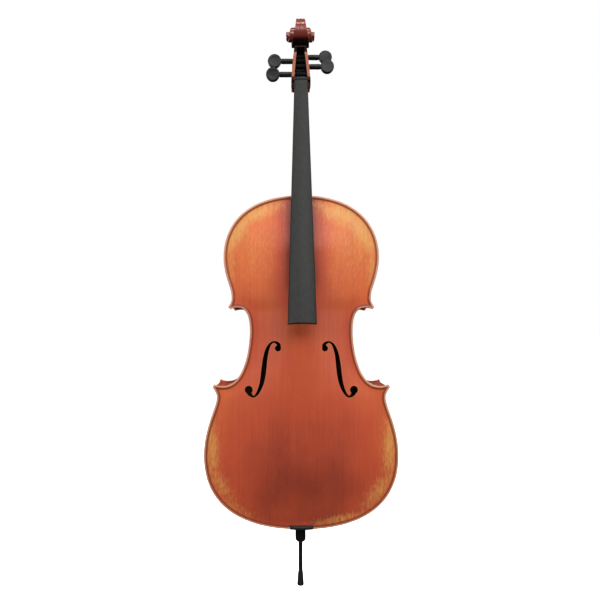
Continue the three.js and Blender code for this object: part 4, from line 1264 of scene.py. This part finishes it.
def fingerboard(material):
    """A long board with a crowned top, softened edges and a hollow under its free end."""
    held, free = np.linspace(-8, -270, 24), np.linspace(-280, -345, 10)
    ups = np.concatenate([[0, -0.6], held, free, np.linspace(-360, -573, 18), [-574.4, -BOARD_LONG]])
    rings = []
    for up in ups:
        half = board_half(up)
        end_soft = 0.6 * (up < -574.7) + 0.4 * (up > -0.3)
        deep = 7.5 * min(1, max(0, (-NECK_STOP - up) / 60))
        bend = 1.3 * (1 if up < -572 else 0)
        ring = []
        for x in np.linspace(-1, 1, 25) * (half - 0.9):
            ring.append((x, board_crown(x) + end_soft, up + bend * (1 - (x / half) ** 2)))
        side_low = float(board_under(up))
        edge_top = board_crown(half)
        side = [(half - 0.25, edge_top + 0.35 + end_soft), (half, edge_top + 1.1)]
        side += [(half, side_low - 0.8), (half - 0.8, side_low)]
        ring += [(x, y, up) for x, y in side]
        for x in np.linspace(1, -1, 21)[1:-1] * (half - 0.8):
            share = max(0, 1 - (x / (half - 6)) ** 2)
            ring.append((x, side_low - deep * share, up))
        ring += [(-x, y, up) for x, y in side[::-1]]
        rings.append(ring)
    verts, faces = lofted(rings)
    name = "fingerboard"
    add_piece(name, moved(verts, NECK_FRAME), faces, "body", "ebony", [name], [material], 30)


def nut(material):
    """The nut covers the cheeks too, where it falls off, and has a notch for each of the four strings."""
    half = NUT_WIDE / 2
    rings = []
    for up, lift in NUT_PROFILE:
        ring = []
        for x in np.linspace(-half, half, 130):
            notch = sum(0.7 * math.exp(-(((x - place) / 0.75) ** 2)) for place in STRING_PLACES)
            shoulder = 3.3 * max(0.0, (abs(x) - 12) / (half - 12)) ** 2
            ring.append((x, board_crown(x) + lift + notch + shoulder, up))
        ring += [(half, float(board_under(0)), up), (-half, float(board_under(0)), up)]
        rings.append(ring)
    verts, faces = lofted(rings)
    add_piece("nut", moved(verts, NECK_FRAME), faces, "body", "ebony", ["nut"], [material], 32)


# ---- Ribs ----

PLUG_HOLE = 14.1  # radius of the hole that the lower ribs leave for the endpin's plug


def ribs(material):
    """Six bent strips. The upper ones stop at the neck's heel and the lower ones at the endpin's plug."""
    near, far = FRONT + PLATE + GLUE, BACK - PLATE - GLUE
    lines = [bouts(inset) for inset in RIB_FACES]
    levels = np.concatenate([np.linspace(near, -15, 9), np.linspace(-14, 14, 17), np.linspace(15, far, 9)])
    for half, side in (("bass", -1), ("treble", 1)):
        for bout in ("lower", "middle", "upper"):
            rings = []
            for y in levels:
                limit = SEAM
                if bout == "upper":
                    limit = heel_half_width(y) + 0.1
                if bout == "lower" and abs(y) < PLUG_HOLE:
                    limit = math.sqrt(PLUG_HOLE**2 - y * y) + SEAM
                outer, inner = [rib_row(line[bout], limit, side, y) for line in lines]
                rings.append(outer + inner[::-1])
            verts, faces = lofted(rings, capped=False)
            wide = len(rings[0])
            for i in range(wide // 2 - 1):
                for start in (0, (len(levels) - 1) * wide):
                    faces.append([start + i, start + i + 1, start + wide - 2 - i, start + wide - 1 - i])
            verts, faces = welded(verts, faces)
            height = verts[:, 2] - BODY_LOW
            middle = np.exp(-((verts[:, 1] / 34) ** 2))
            values = {
                "edge": np.full(len(verts), NO_EDGE),
                "shade": 0.25 + 0.4 * middle,
                "wear": 0.35 * middle * (0.5 + 0.5 * np.sin(height / 70)),
            }
            name = f"rib_{bout}_{half}"
            add_piece(name, verts, faces, "body", "maple_varnish", [name], [material], 40, values)


def rib_row(line, limit, side, y):
    """One level of a rib's face, from the corner to where it stops, with evenly spread points."""
    inside_limit = line[:, 0] >= limit
    kept = line[inside_limit]
    if not inside_limit.all():
        from_start = not inside_limit[0]
        k = np.argmax(inside_limit) if from_start else len(line) - np.argmax(inside_limit[::-1]) - 1
        a, b = (line[k - 1], line[k]) if from_start else (line[k], line[k + 1])
        share = (limit - a[0]) / (b[0] - a[0])
        end = (a + (b - a) * share)[None]
        kept = np.vstack([end, kept]) if from_start else np.vstack([kept, end])
    even = spread_evenly(kept, len(line))
    return [(side * x, y, z) for x, z in even]


def welded(verts, faces):
    """The same mesh with its double points joined and its faces turned outwards."""
    made = scratch_solid(verts, faces)
    mesh = made.data
    out = np.array([tuple(v.co) for v in mesh.vertices]) / MM, [list(p.vertices) for p in mesh.polygons]
    bpy.data.objects.remove(made)
    bpy.data.meshes.remove(mesh)
    return out


# ---- Saddle and endpin ----


def saddle(material):
    """A rounded bar let into the front plate's lower edge, highest in its middle."""
    rings = []
    half = SADDLE[0]
    low, high = BODY_LOW + SADDLE[1], BODY_LOW + SADDLE[2]
    behind = FRONT + PLATE
    for share in np.linspace(-1, 1, 41):
        end = max(0.0, (abs(share) - 0.97) / 0.03)
        proud = 1.5 + 4.5 * (1 - share**2) ** 0.8 - 0.5 * end
        profile = [(behind, low + 0.3), (behind - 0.3, low), (FRONT - proud + 3.2, low)]
        for a in np.linspace(0, math.pi / 2, 7)[1:]:
            profile.append((FRONT - proud + 3.2 - 3.2 * math.sin(a), low + 3.2 - 3.2 * math.cos(a)))
        for a in np.linspace(0, math.pi / 2, 8):
            profile.append((FRONT - proud + 2.6 - 2.6 * math.cos(a), high - 2.6 + 2.6 * math.sin(a)))
        profile += [(behind, high)]
        rings.append([(half * share, y, z) for y, z in profile])
    verts, faces = lofted(rings)
    add_piece("saddle", verts, faces, "body", "ebony", ["saddle"], [material], 36)


COLLAR_LOW = 106.0
COLLAR_TOP = 152.5  # where the plug's flange and the collar meet
BORE = 8.1  # radius of the plug's bore, which holds the collar's spigot
ROD_CLEAR = 5.2  # radius of the collar's bore, in which the rod slides
SPIGOT_TOP = 221.0
SCREW_HEIGHT = 129.0
SCREW_PLACE = Matrix.Translation((0, 0, SCREW_HEIGHT)) @ Matrix.Rotation(-math.pi / 2, 4, "X")


def endpin_plug(wood):
    """The round plug in the bottom block, with a flange that has a groove round it."""
    top = COLLAR_TOP
    plug = [(BORE, top), (15.0, top), (15.7, top + 0.5), (16, top + 1.3), (16, top + 3.0)]
    plug += [(15.4, top + 3.5), (15.4, top + 4.1), (16, top + 4.6), (16, top + 7.0), (15.7, top + 7.7)]
    plug += [(14, top + 7.7), (12.4, 217), (BORE, 217), (BORE, top)]
    add_piece("endpin_plug", *turned_ring(plug, 72), "body", "endpin_wood", ["endpin_plug"], [wood], 40)


def endpin_collar(fitting):
    """A rounded collar with a spigot up into the plug and a cross hole for the thumb screw."""
    low, top = COLLAR_LOW, COLLAR_TOP
    collar = [(ROD_CLEAR, low), (6.8, low), (7.4, low + 0.2)]
    for a in np.linspace(0, math.pi / 2, 9):
        collar.append((7.4 + 5.1 * math.sin(a), low + 6.2 - 6.0 * math.cos(a)))
    collar += [(12.5, top - 9), (12.1, top - 8.6), (12.1, top - 7.8), (12.5, top - 7.4), (12.5, top - 1.0)]
    collar += [(11.9, top - 0.3), (8, top - 0.3), (8, SPIGOT_TOP), (ROD_CLEAR, SPIGOT_TOP), (ROD_CLEAR, low)]
    body = scratch_solid(*turned_ring(collar, 72))
    verts, faces = turned([(0, 0), (3.2, 0), (3.2, 25), (0, 25)], 32)
    hole = scratch_solid(moved(verts, SCREW_PLACE), faces)
    verts, faces = combined(body, [("DIFFERENCE", hole)])
    add_piece("endpin_collar", verts, faces, "body", "endpin_fitting", ["endpin_collar"], [fitting], 32)


def thumb_screw(fitting):
    """A screw with a ridged round knob."""
    name = "thumb_screw"
    face, end, knob = 13.3, 25.3, 7.0
    shape = [(0, 5.4), (2, 5.4), (3, 6.4), (3, face), (5, face), (6.4, face + 0.5), (knob, face + 1.6)]
    shape += [(knob, z) for z in np.linspace(face + 2, end - 2, 6)]
    shape += [(knob, end - 1.6), (6.4, end - 0.5), (5.4, end), (0, end - 0.6)]
    verts, faces = turned(shape, 96)
    x, y, z = verts.T
    ridged = (np.hypot(x, y) > knob - 0.1) & (z > face + 1.8) & (z < end - 1.8)
    ridges = 1 - 0.035 * (1 + np.cos(24 * np.arctan2(y, x)))
    verts[:, :2] *= np.where(ridged, ridges, 1)[:, None]
    add_piece(name, moved(verts, SCREW_PLACE), faces, name, "endpin_fitting", [name], [fitting], 45)


def endpin_rod(steel):
    """A straight rod with a sharp point below and a stop at its upper end."""
    rod = [(0, 12.5), (0.8, 12.8), (1.2, 13.8)]
    rod += [(5, z) for z in (24, 30, 106, 200, 300, 452)]
    rod += [(6.4, 454), (6.4, 464.5), (5, 466), (0, 466)]
    add_piece("endpin_rod", *turned(rod, 48), "endpin_rod", "endpin_rod", ["endpin_rod"], [steel], 40)


def rubber_tip(material):
    """A rounded rubber cap with a hollow that fits the rod's point."""
    tip = [(0, 0), (4.6, 0), (6.3, 0.25), (7.4, 0.9), (8.0, 1.9), (8.1, 3.2), (8.0, 4.6)]
    tip += [(8.0 - 1.9 * s**0.9, 4.6 + 26.4 * s) for s in np.linspace(0, 1, 9)[1:]]
    tip += [(5.95, 32.1), (5.7, 32.5), (5.15, 32.5), (5.15, 23.4), (1.3, 11.5), (0, 11.5)]
    add_piece("rubber_tip", *turned(tip, 56), "rubber_tip", "rubber", ["rubber_tip"], [material], 40)


# ---- Inside of the body ----

BLOCK_DRAWN_IN = 0.9


def inside_wood(willow, spruce_wood):
    """The blocks, linings, bar and post keep their CAD shapes and get the look of bare wood.

    The corner blocks' flat facets would cut through the curved ribs, so those blocks are drawn in a little.
    """
    for name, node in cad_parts.items():
        wood = None
        if name.startswith(("lining_", "corner_block_", "top_block", "bottom_block")):
            wood = willow
        if name in ("bass_bar", "sound_post"):
            wood = spruce_wood
        if wood:
            node.data.materials.clear()
            node.data.materials.append(wood)
        if name.startswith("corner_block_"):
            drawn_in = node.modifiers.new("drawn_in", "DISPLACE")
            drawn_in.strength = -BLOCK_DRAWN_IN * MM
            drawn_in.mid_level = 0


# ---- Light, floor and camera ----

# The drawn-out endpin with its tip pulled off reaches 0.27 m below the tip's place at rest, and the floor is
# lower still, so that it hides no pose.
FLOOR_HEIGHT = -0.28
FLOOR_HALF = 40.0


def soft_light(name, place, target, size, power):
    """A rectangular area light that faces its target."""
    data = bpy.data.lights.new(name, "AREA")
    data.shape = "RECTANGLE"
    data.size, data.size_y = size
    data.energy = power
    light = bpy.data.objects.new(name, data)
    light.location = place
    light.rotation_euler = (Vector(target) - Vector(place)).to_track_quat("-Z", "Y").to_euler()
    bpy.context.collection.objects.link(light)


SOFT_BOXES = [  # name, place, what it points at, width and height, power
    ("key", (1.25, -2.6, 2.6), (0, 0, 0.7), (1.8, 1.8), 51),
    ("second_key", (-1.35, -2.6, 2.5), (0, 0, 0.7), (1.9, 1.9), 31),
    ("low_right", (2.2, -2.0, 1.1), (0, 0, 0.5), (1.2, 1.6), 19),
    ("low_left", (-2.2, -2.0, 1.1), (0, 0, 0.5), (1.2, 1.6), 22),
    ("strip", (0.0, -2.5, 2.25), (0, 0, 1.3), (0.2, 1.2), 12),
    ("top", (0.1, -0.9, 3.7), (0, 0, 1.2), (1.0, 0.6), 20),
    ("behind_right", (1.9, 2.5, 1.9), (0, 0, 0.7), (2.4, 2.4), 78),
    ("behind_left", (-2.2, 2.2, 1.5), (0, 0, 0.6), (2.2, 2.4), 56),
]


def studio():
    """Soft boxes round the object, a white surround that lights nothing, and a floor with its own light."""
    scene = bpy.context.scene
    scene.view_settings.view_transform = "Standard"
    world = bpy.data.worlds.new("studio")
    scene.world = world
    world.use_nodes = True
    world.node_tree.nodes["Background"].inputs["Color"].default_value = (1, 1, 1, 1)
    for rays in ("diffuse", "glossy", "transmission", "scatter"):
        setattr(world.cycles_visibility, rays, False)
    for light in SOFT_BOXES:
        soft_light(*light)
    floor_mesh = bpy.data.meshes.new("floor")
    signs = ((-1, -1), (1, -1), (1, 1), (-1, 1))
    corners = [(x * FLOOR_HALF, y * FLOOR_HALF, FLOOR_HEIGHT) for x, y in signs]
    floor_mesh.from_pydata(corners, [], [(0, 1, 2, 3)])
    floor = bpy.data.objects.new("floor", floor_mesh)
    bpy.context.collection.objects.link(floor)
    floor.visible_diffuse = False
    floor.visible_glossy = False
    paint = Paint("floor", Roughness=0.9)
    paint.colour((0.93, 0.93, 0.93))
    floor_mesh.materials.append(paint.material)
    sky = bpy.data.objects.new("floor_light", bpy.data.lights.new("floor_light", "SUN"))
    sky.data.energy = 3.8
    sky.data.angle = math.radians(90)
    bpy.context.collection.objects.link(sky)
    lit = bpy.data.collections.new("lit_by_floor_light")
    lit.objects.link(floor)
    sky.light_linking.receiver_collection = lit


def photo_camera():
    """Level, in front of the body and a little left of its middle, at two thirds of its height."""
    data = bpy.data.cameras.new("camera")
    data.sensor_width = 36
    data.lens = 31.56
    data.shift_x = 0.023
    data.shift_y = 0.0466667
    camera = bpy.data.objects.new("camera", data)
    camera.location = (-0.0343, FRONT * MM - 1.196, BODY_LOW * MM + 0.459)
    camera.rotation_euler = (math.pi / 2, 0, 0)
    bpy.context.collection.objects.link(camera)
    bpy.context.scene.camera = camera


photo_camera()
studio()
plates()

maple_side = maple("varnished_maple_ribs", sloping("X", 0.8, "Y", 0.25), 30.0, (300, 300, 14))
ribs(maple_side)

head_flame = sloping("Y", 0.4, "X", 0.3)
neck_and_scroll([
    maple("varnished_maple_head", head_flame, 20.0, (240, 240, 9), 0.12, 0.7, 0.14),
    plain_wood("stained_pegbox_inside", (0.02, 0.01, 0.008), (0.008, 0.005, 0.004), (80, 80, 20), 0.7),
    plain_wood("bare_maple", (0.60, 0.42, 0.25), (0.50, 0.33, 0.18), (160, 160, 10)),
    plain_wood("worn_cheek_fronts", (0.42, 0.11, 0.042), (0.29, 0.070, 0.026), (160, 160, 30), 0.65),
])

fingerboard(dark_wood("ebony_board", (0.026, 0.026, 0.025), (0.04, 0.038, 0.037), (420, 420, 9), 0.44, 0.17))
polished = dark_wood("ebony_polished", (0.016, 0.015, 0.015), (0.03, 0.028, 0.027), (300, 300, 40), 0.34, 0.3)
nut(polished)
pegs(
    dark_wood("ebony_pegs", (0.008, 0.008, 0.009), (0.019, 0.018, 0.02), (40, 420, 420), 0.38, 0.26),
    # painted shade on the pegs' middles inside the pegbox
    dark_wood("ebony_painted_shade_in_pegbox", (0.004, 0.004, 0.004), (0.008, 0.007, 0.007), (40, 420, 420), 0.6, 0.08),
)
saddle(polished)

stained = (0.012, 0.012, 0.012), (0.022, 0.021, 0.021)
fitting = dark_wood("black_stained_fitting", *stained, (420, 420, 30), 0.32)
endpin_plug(fitting)
endpin_collar(fitting)
thumb_screw(fitting)
endpin_rod(black_metal("blackened_steel", (0.018, 0.018, 0.019), 0.34))
rubber_tip(rubber())

inside_wood(
    plain_wood("bare_willow", (0.56, 0.40, 0.24), (0.42, 0.28, 0.16), (140, 140, 12)),
    plain_wood("bare_spruce", (0.62, 0.44, 0.25), (0.46, 0.29, 0.14), (260, 260, 7)),
)
